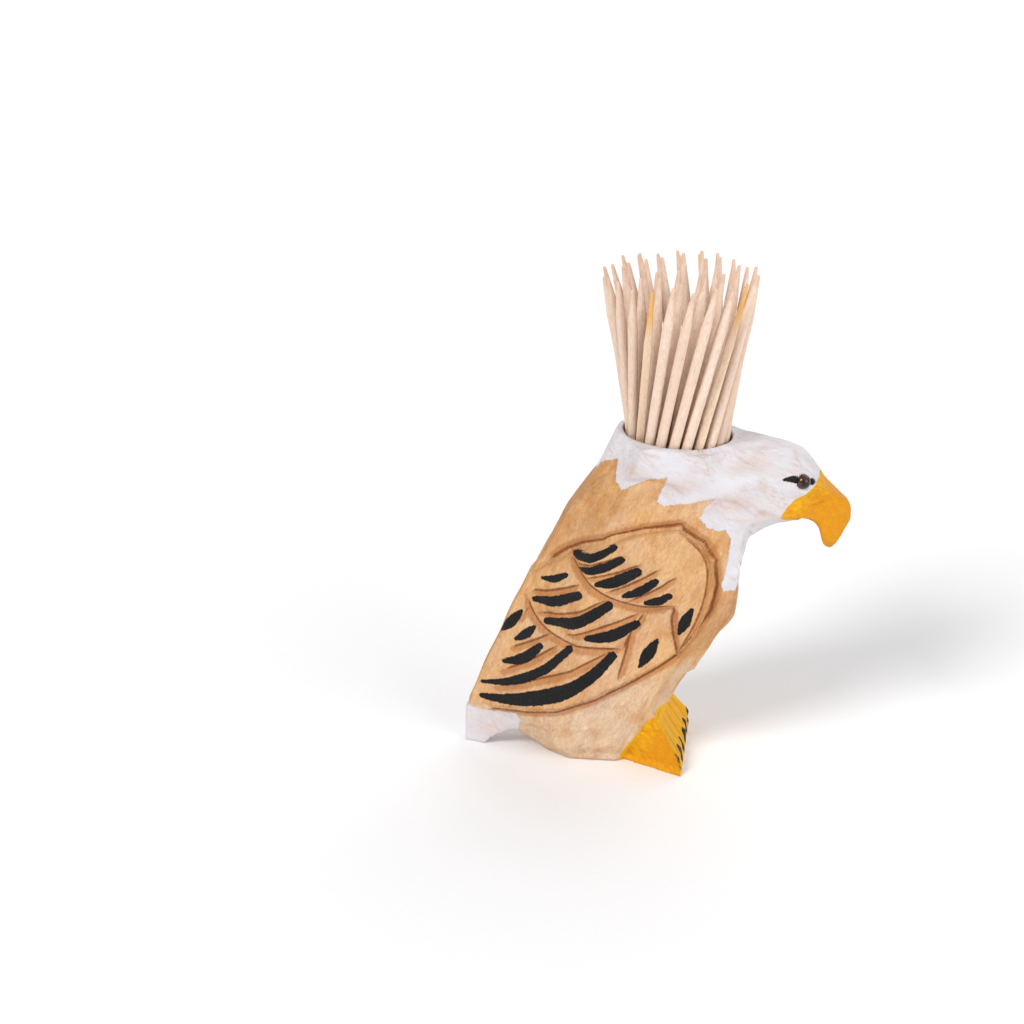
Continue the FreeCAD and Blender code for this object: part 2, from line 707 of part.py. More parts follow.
def picks():
    """Every pick in the bore, each a body of its own that lies along its own axis."""
    made = []
    slivers = 0
    for number, (start, way) in enumerate(bundle(), start=1):
        if number == KNOTTED_SLOT:
            pick = knotted_pick("knotted_bamboo_pick")
        elif number in SLIVER_SLOTS:
            slivers += 1
            pick = sliver(f"bamboo_sliver_{slivers}")
        else:
            pick = plain_pick(f"toothpick_{number:02d}", number)
        pick.Placement = FreeCAD.Placement(start, FreeCAD.Rotation(Vector(0, 0, 1), way))
        made.append(pick)
    return made


def main():
    """Builds the model, checks every object of it and writes one file for each sub-part."""
    fill_sheet()
    sub_parts = [carved_body()]
    sub_parts += [eye(f"eye_{side}", place) for side, place in eye_places().items()]
    sub_parts += picks()
    doc.recompute()
    for thing in doc.Objects:
        faults = [state for state in thing.State if state in ("Invalid", "Error")]
        if faults:
            raise RuntimeError(f"{thing.Label}: {faults} {thing.getStatusString()}")
    for thing in sub_parts:
        if thing.Shape.isNull() or not thing.Shape.isValid():
            raise RuntimeError(f"{thing.Label} has no valid shape")
    os.makedirs("parts", exist_ok=True)
    for thing in sub_parts:
        thing.Shape.exportStep(f"parts/{thing.Label}.step")
        print(f"{thing.Label}: {thing.Shape.Volume:.1f} mm3, {len(thing.Shape.Solids)} solid")


main()
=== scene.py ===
"""Looks of the carved eagle toothpick dispenser.

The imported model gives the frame: one carved block, two bead eyes and a bundle of picks. Here
the block is carved on with a knife's facets, feather grooves and toes, then stained and
painted. The picks get their own fibres and uneven points, and the eyes become glass beads.

Shapes are worked out in millimetres and written in metres. The bird faces +X, its left wing is
on +Y and +Z is up. The side view is the plane of X and Z, and both sides are cut and painted
by it.
"""

import json
import logging
import math
from dataclasses import dataclass, field
from enum import Enum
from typing import Sequence

import bmesh
import bpy
import numpy as np
from mathutils import Matrix, Vector

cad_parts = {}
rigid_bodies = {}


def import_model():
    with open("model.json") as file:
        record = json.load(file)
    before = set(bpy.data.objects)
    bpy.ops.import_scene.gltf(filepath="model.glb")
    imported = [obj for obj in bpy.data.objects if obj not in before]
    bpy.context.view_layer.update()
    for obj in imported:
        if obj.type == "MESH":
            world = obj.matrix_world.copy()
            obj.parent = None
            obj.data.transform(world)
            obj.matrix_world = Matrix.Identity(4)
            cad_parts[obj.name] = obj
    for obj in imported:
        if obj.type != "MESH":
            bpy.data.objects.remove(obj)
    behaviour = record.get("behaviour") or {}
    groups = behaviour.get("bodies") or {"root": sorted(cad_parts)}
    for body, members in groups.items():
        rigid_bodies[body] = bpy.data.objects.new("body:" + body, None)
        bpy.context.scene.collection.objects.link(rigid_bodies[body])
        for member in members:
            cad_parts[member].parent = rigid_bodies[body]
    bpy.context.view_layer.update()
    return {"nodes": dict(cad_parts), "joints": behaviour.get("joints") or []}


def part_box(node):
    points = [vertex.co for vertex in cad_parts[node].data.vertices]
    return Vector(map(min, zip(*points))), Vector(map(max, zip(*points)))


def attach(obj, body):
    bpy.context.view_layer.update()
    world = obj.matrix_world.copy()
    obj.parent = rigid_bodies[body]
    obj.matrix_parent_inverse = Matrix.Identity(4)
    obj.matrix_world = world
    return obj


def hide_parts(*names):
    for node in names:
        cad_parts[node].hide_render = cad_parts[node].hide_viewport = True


for leftover in list(bpy.data.objects):
    bpy.data.objects.remove(leftover)
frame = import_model()

LOG = logging.getLogger("dispenser")
MM = 0.001
NOISE_MIDDLE = 0.5
PHASES = (0, 6)
TINY = 1e-9

# A path is a line's corners, and a range says where something starts and where it is full.
Path = Sequence[tuple[float, float]]
Range = tuple[float, float]
Rgba = tuple[float, float, float, float]
Stops = Sequence[tuple[float, Rgba]]
Socket = bpy.types.NodeSocket
Source = Socket | float | Rgba


class Kept(Enum):
    """What a mesh keeps at each vertex for its finish to read."""

    PLACE = "grain_place"
    # The stain, with painted shade on faces turned to the back.
    STAIN_AND_SHADE = "stain"
    WHITE = "white_distance"
    YELLOW = "yellow_distance"
    BLACK = "black_distance"
    LINE = "line_distance"
    # The band beside the cuts: stain and painted shade.
    BAND = "band_distance"
    THIN = "thin_paint"
    # Painted light on the toes' tops that face forward.
    TOE_LIGHT = "toe_top"
    # Painted shade in the bore, darker towards its bottom.
    BORE_SHADE = "hollow"
    TONE = "tone"
    TIP = "tip"
    IRIS = "iris_share"


# ------------------------------------------------------------------ plane geometry


def path_distance(points: np.ndarray, path: Path) -> tuple[np.ndarray, np.ndarray, np.ndarray]:
    """Distance from points to a line of straight runs.

    Args:
        points: The points, as an (n, 2) array.
        path: The corners of the line, in order.

    Returns:
        The distance, the share of the line's length at the nearest point, and the side:
        +1 to the right of the way and -1 to the left.
    """
    corners = np.asarray(path, float)
    runs = np.diff(corners, axis=0)
    lengths = np.hypot(runs[:, 0], runs[:, 1])
    starts = np.concatenate([[0.0], np.cumsum(lengths)])
    best = np.full(len(points), np.inf)
    share = np.zeros(len(points))
    side = np.ones(len(points))
    for corner, run, length, start in zip(corners, runs, lengths, starts):
        offset = points - corner
        along = np.clip(offset @ run / length ** 2, 0, 1)
        gap = offset - along[:, None] * run
        distance = np.hypot(gap[:, 0], gap[:, 1])
        nearer = distance < best
        best = np.where(nearer, distance, best)
        share = np.where(nearer, (start + along * length) / starts[-1], share)
        turn = run[1] * offset[:, 0] - run[0] * offset[:, 1]
        side = np.where(nearer, np.where(turn > 0, 1.0, -1.0), side)
    return best, share, side


def rounded(path: Path, rounds: int = 2) -> np.ndarray:
    """Cuts a line's corners off until it is smooth, and keeps its two ends.

    Args:
        path: The corners of the line, in order.
        rounds: How often the corners are cut.

    Returns:
        The corners of the smooth line, as an (n, 2) array.
    """
    near, far = 0.75, 0.25
    corners = np.asarray(path, float)
    for _ in range(rounds):
        early = corners[:-1] * near + corners[1:] * far
        late = corners[:-1] * far + corners[1:] * near
        between = np.stack([early, late], 1).reshape(-1, 2)
        corners = np.concatenate([corners[:1], between, corners[-1:]])
    return corners


def area_distance(points: np.ndarray, outline: Path) -> np.ndarray:
    """Signed distance to a closed outline, positive inside.

    Args:
        points: The points, as an (n, 2) array.
        outline: The outline's corners in order, not repeated at the end.

    Returns:
        The distance of each point, with a minus sign outside.
    """
    closed = [*outline, outline[0]]
    distance = path_distance(points, closed)[0]
    inside = np.zeros(len(points), bool)
    for (ax, az), (bx, bz) in zip(closed, closed[1:]):
        if az == bz:
            continue
        crosses = (points[:, 1] < az) != (points[:, 1] < bz)
        reach = ax + (points[:, 1] - az) * (bx - ax) / (bz - az)
        inside ^= crosses & (points[:, 0] < reach)
    return np.where(inside, distance, -distance)


def smooth_step(low: float, high: float, value: np.ndarray) -> np.ndarray:
    """Rises from 0 at low to 1 at high with level ends; falls where high is below low."""
    t = np.clip((value - low) / (high - low), 0, 1)
    return t * t * (3 - 2 * t)


def faded(least: float | np.ndarray, share: np.ndarray) -> np.ndarray:
    """Rises from a least value where the share is 0 to 1 where it is 1."""
    return least + (1 - least) * share


def waves(points: np.ndarray, length: float, seed: int, count: int = 14) -> np.ndarray:
    """Smooth random swell: a mean of plane waves in random directions.

    Args:
        points: The points, in millimetres.
        length: The mean wave length, in millimetres.
        seed: Seed of the directions and phases.
        count: How many waves are added.

    Returns:
        A value of about -1 to 1 at each point.
    """
    shortest, longest, calm = 0.7, 1.5, 0.6
    draw = np.random.default_rng(seed)
    ways = draw.normal(size=(count, 3))
    ways /= np.linalg.norm(ways, axis=1)[:, None]
    ways *= 2 * math.pi / (length * draw.uniform(shortest, longest, count))[:, None]
    phases = draw.uniform(0, 2 * math.pi, count)
    return np.sin(points @ ways.T + phases).sum(1) * math.sqrt(2 / count) * calm


# ------------------------------------------------------------------ mesh helpers


def read_rows(rows: Sequence, key: str, width: int, kind: type = np.float32) -> np.ndarray:
    """Reads one property of every element of a mesh.

    Args:
        rows: The mesh's vertices, normals or edges.
        key: The property's name.
        width: How many numbers the property has.
        kind: The type of its numbers.

    Returns:
        An array with one row for each element.
    """
    flat = np.empty(len(rows) * width, kind)
    rows.foreach_get(key, flat)
    return flat.reshape(-1, width)


def read_points(mesh: bpy.types.Mesh) -> np.ndarray:
    """The mesh's vertices as an (n, 3) array, in millimetres."""
    return read_rows(mesh.vertices, "co", 3).astype(float) / MM


def write_points(mesh: bpy.types.Mesh, points: np.ndarray) -> None:
    """Writes vertices given in millimetres into the mesh."""
    mesh.vertices.foreach_set("co", (points * MM).astype(np.float32).ravel())
    mesh.update()


def store(mesh: bpy.types.Mesh, kept: Kept, values: np.ndarray) -> None:
    """Keeps one number or one vector for each vertex, for the finish to read.

    Args:
        mesh: The mesh.
        kept: What the values are.
        values: An (n,) array of numbers or an (n, 3) array of vectors.
    """
    kind, key = ("FLOAT", "value") if values.ndim == 1 else ("FLOAT_VECTOR", "vector")
    layer = mesh.attributes.new(kept.value, kind, "POINT")
    layer.data.foreach_set(key, values.astype(np.float32).ravel())


def shade_smooth(mesh: bpy.types.Mesh) -> None:
    """Marks every face as smooth."""
    mesh.polygons.foreach_set("use_smooth", np.ones(len(mesh.polygons), bool))
    mesh.update()


def new_piece(name: str, data: bpy.types.ID) -> bpy.types.Object:
    """Links a mesh, a lamp or a lens into the scene as an object at the origin.

    Args:
        name: The object's name.
        data: Its mesh, lamp or lens.

    Returns:
        The object.
    """
    piece = bpy.data.objects.new(name, data)
    bpy.context.scene.collection.objects.link(piece)
    return piece


def tube_mesh(name: str, rings: np.ndarray) -> bpy.types.Mesh:
    """A closed skin over rings of points, with a flat pole at each end.

    Args:
        name: The mesh's name.
        rings: The points as (rings, points round a ring, 3), in millimetres. Each ring runs
            anticlockwise seen from the last ring.

    Returns:
        The mesh, in metres, with its faces outwards.
    """
    count, around = rings.shape[:2]
    poles = np.stack([rings[0].mean(0), rings[-1].mean(0)])
    points = np.concatenate([rings.reshape(-1, 3), poles])
    step = np.arange(around)
    after = (step + 1) % around
    low = np.arange(count - 1)[:, None] * around
    quads = np.stack([low + step, low + after, low + around + after, low + around + step], -1)
    first, last = count * around, count * around + 1
    top = (count - 1) * around
    caps = [np.stack([np.full(around, first), after, step], -1),
            np.stack([np.full(around, last), top + step, top + after], -1)]
    mesh = bpy.data.meshes.new(name)
    faces = quads.reshape(-1, 4).tolist() + caps[0].tolist() + caps[1].tolist()
    mesh.from_pydata((points * MM).tolist(), [], faces)
    mesh.update()
    shade_smooth(mesh)
    return mesh


# ------------------------------------------------------------------ shader node helpers


def colour(red: int, green: int, blue: int) -> Rgba:
    """A colour as the eye reads it, from 0 to 255, turned into linear light.

    Args:
        red: Its red part.
        green: Its green part.
        blue: Its blue part.

    Returns:
        The colour for a shader's socket.
    """
    def linear(part: int) -> float:
        """One channel in linear light."""
        share = part / 255
        return share / 12.92 if share <= 0.04045 else ((share + 0.055) / 1.055) ** 2.4
    return (linear(red), linear(green), linear(blue), 1.0)


@dataclass(frozen=True)
class Noise:
    """Fractal noise: repeats in a unit of length, for all axes or each, octaves, roughness."""

    scale: float | tuple[float, float, float]
    detail: float = 3.0
    rough: float = 0.5


class Nodes:
    """Builds one node tree, keeping the calls short."""

    def __init__(self, tree: bpy.types.NodeTree) -> None:
        """Starts on a tree, which keeps what it already holds."""
        self.tree = tree

    def feed(self, socket: bpy.types.NodeSocket, source: Source) -> None:
        """Links or fills one input.

        Args:
            socket: The input.
            source: Another node's output, a number or a colour.
        """
        if isinstance(source, Socket):
            self.tree.links.new(source, socket)
        else:
            socket.default_value = source

    def add(self, kind: str, inputs: dict | None = None, **settings: object) -> bpy.types.Node:
        """Adds a node, sets it up and links or fills its inputs.

        Args:
            kind: Blender's name of the node.
            inputs: Input name or number to a number, colour or another node's output.
            **settings: The node's own properties.

        Returns:
            The node.
        """
        node = self.tree.nodes.new(kind)
        for name, setting in settings.items():
            setattr(node, name, setting)
        for key, source in (inputs or {}).items():
            self.feed(node.inputs[key], source)
        return node

    def math(self, operation: str, *terms: Source) -> Socket:
        """One sum, product or other operation on numbers; returns its output."""
        return self.add("ShaderNodeMath", dict(enumerate(terms)), operation=operation).outputs[0]

    def times(self, first: Source, second: Source) -> Socket:
        """Product of two numbers; returns its output."""
        return self.math("MULTIPLY", first, second)

    def plus(self, first: Source, second: Source) -> Socket:
        """Sum of two numbers; returns its output."""
        return self.math("ADD", first, second)

    def less(self, first: Source, second: Source) -> Socket:
        """The first number less the second; returns its output."""
        return self.math("SUBTRACT", first, second)

    def larger(self, first: Source, second: Source) -> Socket:
        """The larger of two numbers; returns its output."""
        return self.math("MAXIMUM", first, second)

    def span(self, value: Source, limits: Range) -> Socket:
        """A number that goes from 0 to 1 between two limits; returns its output."""
        inputs = {0: value, 1: limits[0], 2: limits[1]}
        return self.add("ShaderNodeMapRange", inputs).outputs[0]

    def mix(self, share: Source, low: Source, high: Source) -> Socket:
        """Blend of two colours; returns its output."""
        inputs = {0: share, 6: low, 7: high}
        return self.add("ShaderNodeMix", inputs, data_type="RGBA").outputs[2]

    def mix_value(self, share: Source, low: Source, high: Source) -> Socket:
        """Blend of two numbers; returns its output."""
        return self.add("ShaderNodeMix", {0: share, 2: low, 3: high}).outputs[0]

    def ramp(self, share: Source, stops: Stops) -> Socket:
        """Colour ramp.

        Args:
            share: The number that it reads.
            stops: Its places, from 0 to 1, each with a colour.

        Returns:
            The ramp's colour.
        """
        node = self.add("ShaderNodeValToRGB", {0: share})
        elements = node.color_ramp.elements
        while len(elements) < len(stops):
            elements.new(1.0)
        for element, (place, shade) in zip(elements, stops):
            element.position = place
            element.color = shade
        return node.outputs[0]

    def noise(self, place: Source, pattern: Noise) -> Socket:
        """Fractal noise of 0 to 1.

        Args:
            place: The vector that it reads.
            pattern: Its scale, detail and roughness.

        Returns:
            The noise's value.
        """
        scale = pattern.scale
        if isinstance(scale, tuple):
            place = self.add("ShaderNodeVectorMath", {0: place, 1: scale},
                             operation="MULTIPLY").outputs[0]
            scale = 1.0
        return self.add("ShaderNodeTexNoise", {
            "Vector": place, "Scale": scale, "Detail": pattern.detail,
            "Roughness": pattern.rough}).outputs[0]

    def number(self, kept: Kept) -> Socket:
        """A number that the mesh keeps; returns its output."""
        return self.add("ShaderNodeAttribute", attribute_name=kept.value).outputs["Fac"]

    def place(self) -> Socket:
        """The place in the wood that the mesh keeps; returns the vector."""
        node = self.add("ShaderNodeAttribute", attribute_name=Kept.PLACE.value)
        return node.outputs["Vector"]

    def group(self, tree: bpy.types.NodeTree, **inputs: Source) -> bpy.types.Node:
        """Adds a node group and fills its inputs, each by its own name."""
        return self.add("ShaderNodeGroup", inputs, node_tree=tree)


def group_tree(name: str, inputs: dict[str, str], outputs: dict[str, str]
               ) -> tuple[Nodes, bpy.types.Node, bpy.types.Node]:
    """An empty node group with named sockets.

    Args:
        name: The group's name.
        inputs: Input name to socket type.
        outputs: Output name to socket type.

    Returns:
        The builder, the group's input node and its output node.
    """
    tree = bpy.data.node_groups.new(name, "ShaderNodeTree")
    for way, sockets in (("INPUT", inputs), ("OUTPUT", outputs)):
        for label, kind in sockets.items():
            tree.interface.new_socket(label, in_out=way, socket_type=f"NodeSocket{kind}")
    nodes = Nodes(tree)
    return nodes, nodes.add("NodeGroupInput"), nodes.add("NodeGroupOutput")


@dataclass(frozen=True)
class WoodGrain:
    """Fibres, pores and blotches of wood whose grain runs along Z of the given place."""

    name: str = "wood_grain"
    wander_scale: float = 0.22
    wander: float = 0.10
    fine: Noise = Noise((3.3, 3.3, 1.15), 5.0, 0.66)
    coarse: Noise = Noise((1.0, 1.0, 0.28), 3.0, 0.6)
    coarse_share: float = 0.36
    blotch: Noise = Noise((0.33, 0.33, 0.2), 3.0, 0.55)
    pore: Noise = Noise((5.5, 5.5, 1.3), 2.0, 0.5)
    pore_limits: Range = (0.62, 0.74)
    pore_depth: float = 0.35

    def tree(self) -> bpy.types.NodeTree:
        """Builds the node group.

        Returns:
            The group, which takes a place and the fibres' contrast.
        """
        nodes, start, end = group_tree(
            self.name, {"Place": "Vector", "Fibre": "Float"},
            {"Fibres": "Float", "Blotches": "Float", "Pores": "Float", "Height": "Float"})
        place = start.outputs["Place"]
        wander = nodes.add("ShaderNodeTexNoise", {
            "Vector": place, "Scale": self.wander_scale, "Detail": 1.0})
        bent = nodes.add("ShaderNodeMix", {0: self.wander, 4: place, 5: wander.outputs[1]},
                         data_type="VECTOR").outputs[1]
        fibres = nodes.mix_value(self.coarse_share, nodes.noise(bent, self.fine),
                                 nodes.noise(bent, self.coarse))
        sharp = nodes.times(nodes.less(fibres, NOISE_MIDDLE), start.outputs["Fibre"])
        fibres = nodes.plus(sharp, NOISE_MIDDLE)
        pores = nodes.span(nodes.noise(bent, self.pore), self.pore_limits)
        results = {"Fibres": fibres, "Blotches": nodes.noise(place, self.blotch),
                   "Pores": pores,
                   "Height": nodes.less(fibres, nodes.times(pores, self.pore_depth))}
        for label, source in results.items():
            nodes.feed(end.inputs[label], source)
        return nodes.tree


@dataclass(frozen=True)
class BrushedEdge:
    """Turns a distance from a painted outline into cover, with the brush's ragged edge."""

    name: str = "brushed_edge"
    coarse: Noise = Noise(0.9, 4.0, 0.6)
    hairs: Noise = Noise((4.6, 4.6, 0.9), 4.0, 0.75)
    hair_share: float = 0.62

    def tree(self) -> bpy.types.NodeTree:
        """Builds the node group.

        Returns:
            The group, which takes a distance, a place, and how ragged and soft the edge is.
        """
        nodes, start, end = group_tree(
            self.name,
            {"Distance": "Float", "Place": "Vector", "Ragged": "Float", "Soft": "Float"},
            {"Cover": "Float"})
        place, soft = start.outputs["Place"], start.outputs["Soft"]
        swing = nodes.mix_value(self.hair_share, nodes.noise(place, self.coarse),
                                nodes.noise(place, self.hairs))
        swing = nodes.times(nodes.less(swing, NOISE_MIDDLE), start.outputs["Ragged"])
        moved = nodes.plus(start.outputs["Distance"], swing)
        cover = nodes.add("ShaderNodeMapRange", {0: moved, 1: nodes.times(soft, -1.0), 2: soft},
                          interpolation_type="SMOOTHSTEP").outputs[0]
        nodes.feed(end.inputs["Cover"], cover)
        return nodes.tree


GROUPS: dict[str, bpy.types.NodeTree] = {}


def shared_group(effect: WoodGrain | BrushedEdge) -> bpy.types.NodeTree:
    """The node group of an effect, made when first asked for.

    Args:
        effect: The effect.

    Returns:
        Its one node group.
    """
    if effect.name not in GROUPS:
        GROUPS[effect.name] = effect.tree()
    return GROUPS[effect.name]


def new_material(name: str) -> tuple[bpy.types.Material, Nodes, bpy.types.Node]:
    """A material with only its shader and output.

    Args:
        name: The material's name.

    Returns:
        The material, the builder of its nodes and its shader.
    """
    material = bpy.data.materials.new(name)
    material.use_nodes = True
    tree = material.node_tree
    tree.nodes.clear()
    nodes = Nodes(tree)
    shader = nodes.add("ShaderNodeBsdfPrincipled")
    nodes.add("ShaderNodeOutputMaterial", {"Surface": shader.outputs[0]})
    return material, nodes, shader


def finish_of(nodes: Nodes, shader: bpy.types.Node, base: Source, rough: Source,
              height: Source, depth: float, gloss: float) -> None:
    """Links colour, roughness and a bump to a shader.

    Args:
        nodes: The material's builder.
        shader: Its shader.
        base: Output with the colour.
        rough: Output with the roughness.
        height: Output with the height of the bump.
        depth: The bump's depth, in metres.
        gloss: The shader's specular level.
    """
    bump = nodes.add("ShaderNodeBump", {"Height": height, "Distance": depth, "Strength": 1.0})
    for label, source in (("Base Color", base), ("Roughness", rough),
                          ("Normal", bump.outputs[0]), ("Specular IOR Level", gloss)):
        nodes.feed(shader.inputs[label], source)


# ------------------------------------------------------------------ finishes


@dataclass(frozen=True)
class Brush:
    """The edge of a paint or stain: the distance kept for it, and how ragged and soft it is."""

    kept: Kept
    ragged: float
    soft: float = 0.06


@dataclass(frozen=True)
class PaintedCarving:
    """Stained limewood with brushed white, yellow and black paint."""

    name: str = "painted_carving"
    wood: Stops = (
        (0.0, colour(250, 226, 199)), (0.5, colour(243, 182, 118)), (1.0, colour(150, 84, 40)))
    light_fibre: Rgba = colour(250, 220, 178)
    dark_fibre: Rgba = colour(158, 92, 44)
    fibre: float = 4.5
    fibre_cover: float = 0.34
    tints: Stops = (
        (0.36, colour(224, 176, 142)), (0.5, colour(238, 184, 124)),
        (0.64, colour(250, 188, 100)))
    tint: Noise = Noise((0.15, 0.15, 0.08), 3.0, 0.6)
    tint_cover: float = 0.22
    blotch: Rgba = colour(205, 132, 70)
    blotch_start: float = 0.46
    blotch_cover: float = 2.0
    pore: Rgba = colour(122, 70, 36)
    pore_cover: float = 0.35
    # The band beside the cuts is stain and painted shade.
    band_edge: Brush = Brush(Kept.BAND, 1.3, 0.34)
    band: Rgba = colour(200, 122, 60)
    band_cover: float = 0.62
    band_even: float = 0.7
    line_edge: Brush = Brush(Kept.LINE, 0.4, 0.12)
    line: Rgba = colour(128, 70, 32)
    line_cover: float = 0.8
    streak: Noise = Noise((0.45, 1.7, 1.7), 3.0, 0.6)
    patch: Noise = Noise((0.16, 0.3, 0.26), 3.0, 0.5)
    white_edge: Brush = Brush(Kept.WHITE, 2.0)
    white: Rgba = colour(218, 216, 221)
    thin_white: Rgba = colour(206, 182, 172)
    worn_limits: Range = (0.22, 0.42)
    worn_cover: float = 0.7
    thin_gain: float = 1.6
    thin_start: float = -0.15
    yellow_edge: Brush = Brush(Kept.YELLOW, 0.7)
    yellow: Rgba = colour(216, 136, 6)
    bright_yellow: Rgba = colour(232, 180, 2)
    # Painted shade in the creases of the yellow paint.
    crease_shade_yellow: Rgba = colour(190, 106, 8)
    rim_limits: Range = (4.0, 0.3)
    rim_covers: Range = (0.35, 1.3)
    thick_limits: Range = (0.34, 0.7)
    # Painted light on the toes' tops.
    toe_light_cover: float = 0.5
    # Painted shade in the creases of the yellow paint.
    crease_shade_cover: float = 0.5
    black_edge: Brush = Brush(Kept.BLACK, 1.15)
    black: Rgba = colour(15, 14, 16)
    speckle: Rgba = colour(84, 80, 80)
    speck: Noise = Noise(7.0, 2.0, 0.7)
    speck_limits: Range = (0.6, 0.75)
    # Painted shade down in the bore.
    hollow: Rgba = colour(96, 56, 28)
    bore_shade_cover: float = 0.6
    roughness: Range = (0.78, 0.52)
    paint_streaks: float = 0.6
    paint_calm: float = 0.7
    paint_height: float = 0.45
    bump: float = 0.00022
    gloss: float = 0.22

    def material(self) -> bpy.types.Material:
        """Builds the material.

        Returns:
            The material, which reads the distances kept on the carving's mesh.
        """
        material, nodes, shader = new_material(self.name)
        place = nodes.place()
        grain = nodes.group(shared_group(WoodGrain()), Place=place, Fibre=self.fibre).outputs
        streaks = nodes.noise(place, self.streak)
        line, white, yellow, black = (self.cover(nodes, place, edge) for edge in (
            self.line_edge, self.white_edge, self.yellow_edge, self.black_edge))
        base = self.stained_wood(nodes, place, grain, line)
        base = nodes.mix(white, base, self.white_paint(nodes, place, streaks))
        base = nodes.mix(yellow, base, self.yellow_paint(nodes, streaks, line))
        base = nodes.mix(black, base, self.black_paint(nodes, place))
        # Painted shade in the bore, darker towards its bottom.
        hollow = nodes.times(nodes.number(Kept.BORE_SHADE), self.bore_shade_cover)
        base = nodes.mix(hollow, base, self.hollow)
        painted = nodes.larger(nodes.larger(white, yellow), black)
        brushed = nodes.mix_value(self.paint_streaks, grain["Height"], streaks)
        brushed = nodes.times(brushed, self.paint_calm)
        height = nodes.plus(nodes.mix_value(painted, grain["Height"], brushed),
                            nodes.times(painted, self.paint_height))
        rough = nodes.mix_value(painted, *self.roughness)
        finish_of(nodes, shader, base, rough, height, self.bump, self.gloss)
        return material

    def cover(self, nodes: Nodes, place: Source, edge: Brush) -> Socket:
        """Cover of one paint or stain, from its distance; returns its output."""
        return nodes.group(shared_group(BrushedEdge()), Distance=nodes.number(edge.kept),
                           Place=place, Ragged=edge.ragged, Soft=edge.soft).outputs[0]

    def stained_wood(self, nodes: Nodes, place: Source, grain: bpy.types.bpy_prop_collection,
                     line: Source) -> Socket:
        """Bare and stained wood, darker with stain and painted shade beside the cuts, and darkest
        in them.

        Args:
            nodes: The material's builder.
            place: The place in the wood.
            grain: The outputs of the wood's grain.
            line: The cover of the dark lines.

        Returns:
            The wood's colour.
        """
        wood = nodes.ramp(nodes.number(Kept.STAIN_AND_SHADE), self.wood)
        lighter = nodes.mix(self.fibre_cover, wood, self.light_fibre)
        darker = nodes.mix(self.fibre_cover, wood, self.dark_fibre)
        wood = nodes.mix(grain["Fibres"], darker, lighter)
        wood = nodes.mix(self.tint_cover, wood,
                         nodes.ramp(nodes.noise(place, self.tint), self.tints))
        blotch = nodes.times(nodes.less(grain["Blotches"], self.blotch_start), self.blotch_cover)
        wood = nodes.mix(blotch, wood, self.blotch)
        wood = nodes.mix(nodes.times(grain["Pores"], self.pore_cover), wood, self.pore)
        # The band beside the cuts: stain and painted shade.
        shaded = nodes.mix(grain["Fibres"], self.line, self.band)
        shaded = nodes.mix(self.band_even, shaded, self.band)
        band = nodes.times(self.cover(nodes, place, self.band_edge), self.band_cover)
        wood = nodes.mix(band, wood, shaded)
        return nodes.mix(nodes.times(line, self.line_cover), wood, self.line)

    def white_paint(self, nodes: Nodes, place: Source, streaks: Source
                    ) -> Socket:
        """White paint that lets the wood through where it is worn or thin.

        Args:
            nodes: The material's builder.
            place: The place in the wood.
            streaks: The brush's streaks.

        Returns:
            The paint's colour.
        """
        worn = nodes.times(streaks, nodes.noise(place, self.patch))
        worn = nodes.times(nodes.span(worn, self.worn_limits), self.worn_cover)
        thin = nodes.plus(nodes.times(streaks, self.thin_gain), self.thin_start)
        thin = nodes.times(nodes.number(Kept.THIN), thin)
        return nodes.mix(nodes.larger(worn, thin), self.white, self.thin_white)

    def yellow_paint(self, nodes: Nodes, streaks: Source, line: Source
                     ) -> Socket:
        """Yellow paint, brighter at its rim, with painted light on the toes' tops and painted
        shade in the creases.

        Args:
            nodes: The material's builder.
            streaks: The brush's streaks.
            line: The cover of the dark lines.

        Returns:
            The paint's colour.
        """
        rim = nodes.span(nodes.number(Kept.YELLOW), self.rim_limits)
        thick = nodes.times(nodes.span(streaks, self.thick_limits),
                            nodes.mix_value(rim, *self.rim_covers))
        # Painted light on the toes' tops.
        thick = nodes.plus(thick, nodes.times(nodes.number(Kept.TOE_LIGHT), self.toe_light_cover))
        yellow = nodes.mix(thick, self.yellow, self.bright_yellow)
        # Painted shade in the creases of the yellow paint.
        return nodes.mix(nodes.times(line, self.crease_shade_cover), yellow, self.crease_shade_yellow)

    def black_paint(self, nodes: Nodes, place: Source) -> Socket:
        """Black paint with a few pale specks; returns its colour."""
        specks = nodes.span(nodes.noise(place, self.speck), self.speck_limits)
        return nodes.mix(specks, self.black, self.speckle)


@dataclass(frozen=True)
class BareStick:
    """Bare split or turned wood, with fibres along the stick."""

    name: str
    light: Rgba
    dark: Rgba
    tip: Rgba
    rough: float = 0.62
    tip_cover: float = 0.5
    fibre: float = 3.0
    pore: Rgba = colour(170, 126, 96)
    pore_cover: float = 0.3
    tone_cover: float = 0.6
    rough_spread: float = 0.12
    bump: float = 0.00012
    gloss: float = 0.2

    def material(self) -> bpy.types.Material:
        """Builds the material.

        Returns:
            The material, which reads the stick's own place and tone.
        """
        material, nodes, shader = new_material(self.name)
        place = nodes.place()
        grain = nodes.group(shared_group(WoodGrain()), Place=place, Fibre=self.fibre).outputs
        base = nodes.mix(grain["Fibres"], self.dark, self.light)
        base = nodes.mix(nodes.times(nodes.number(Kept.TONE), self.tone_cover), base, self.dark)
        base = nodes.mix(nodes.times(grain["Pores"], self.pore_cover), base, self.pore)
        base = nodes.mix(nodes.times(nodes.number(Kept.TIP), self.tip_cover), base, self.tip)
        rough = nodes.mix_value(grain["Fibres"], self.rough + self.rough_spread, self.rough)
        finish_of(nodes, shader, base, rough, grain["Height"], self.bump, self.gloss)
        return material


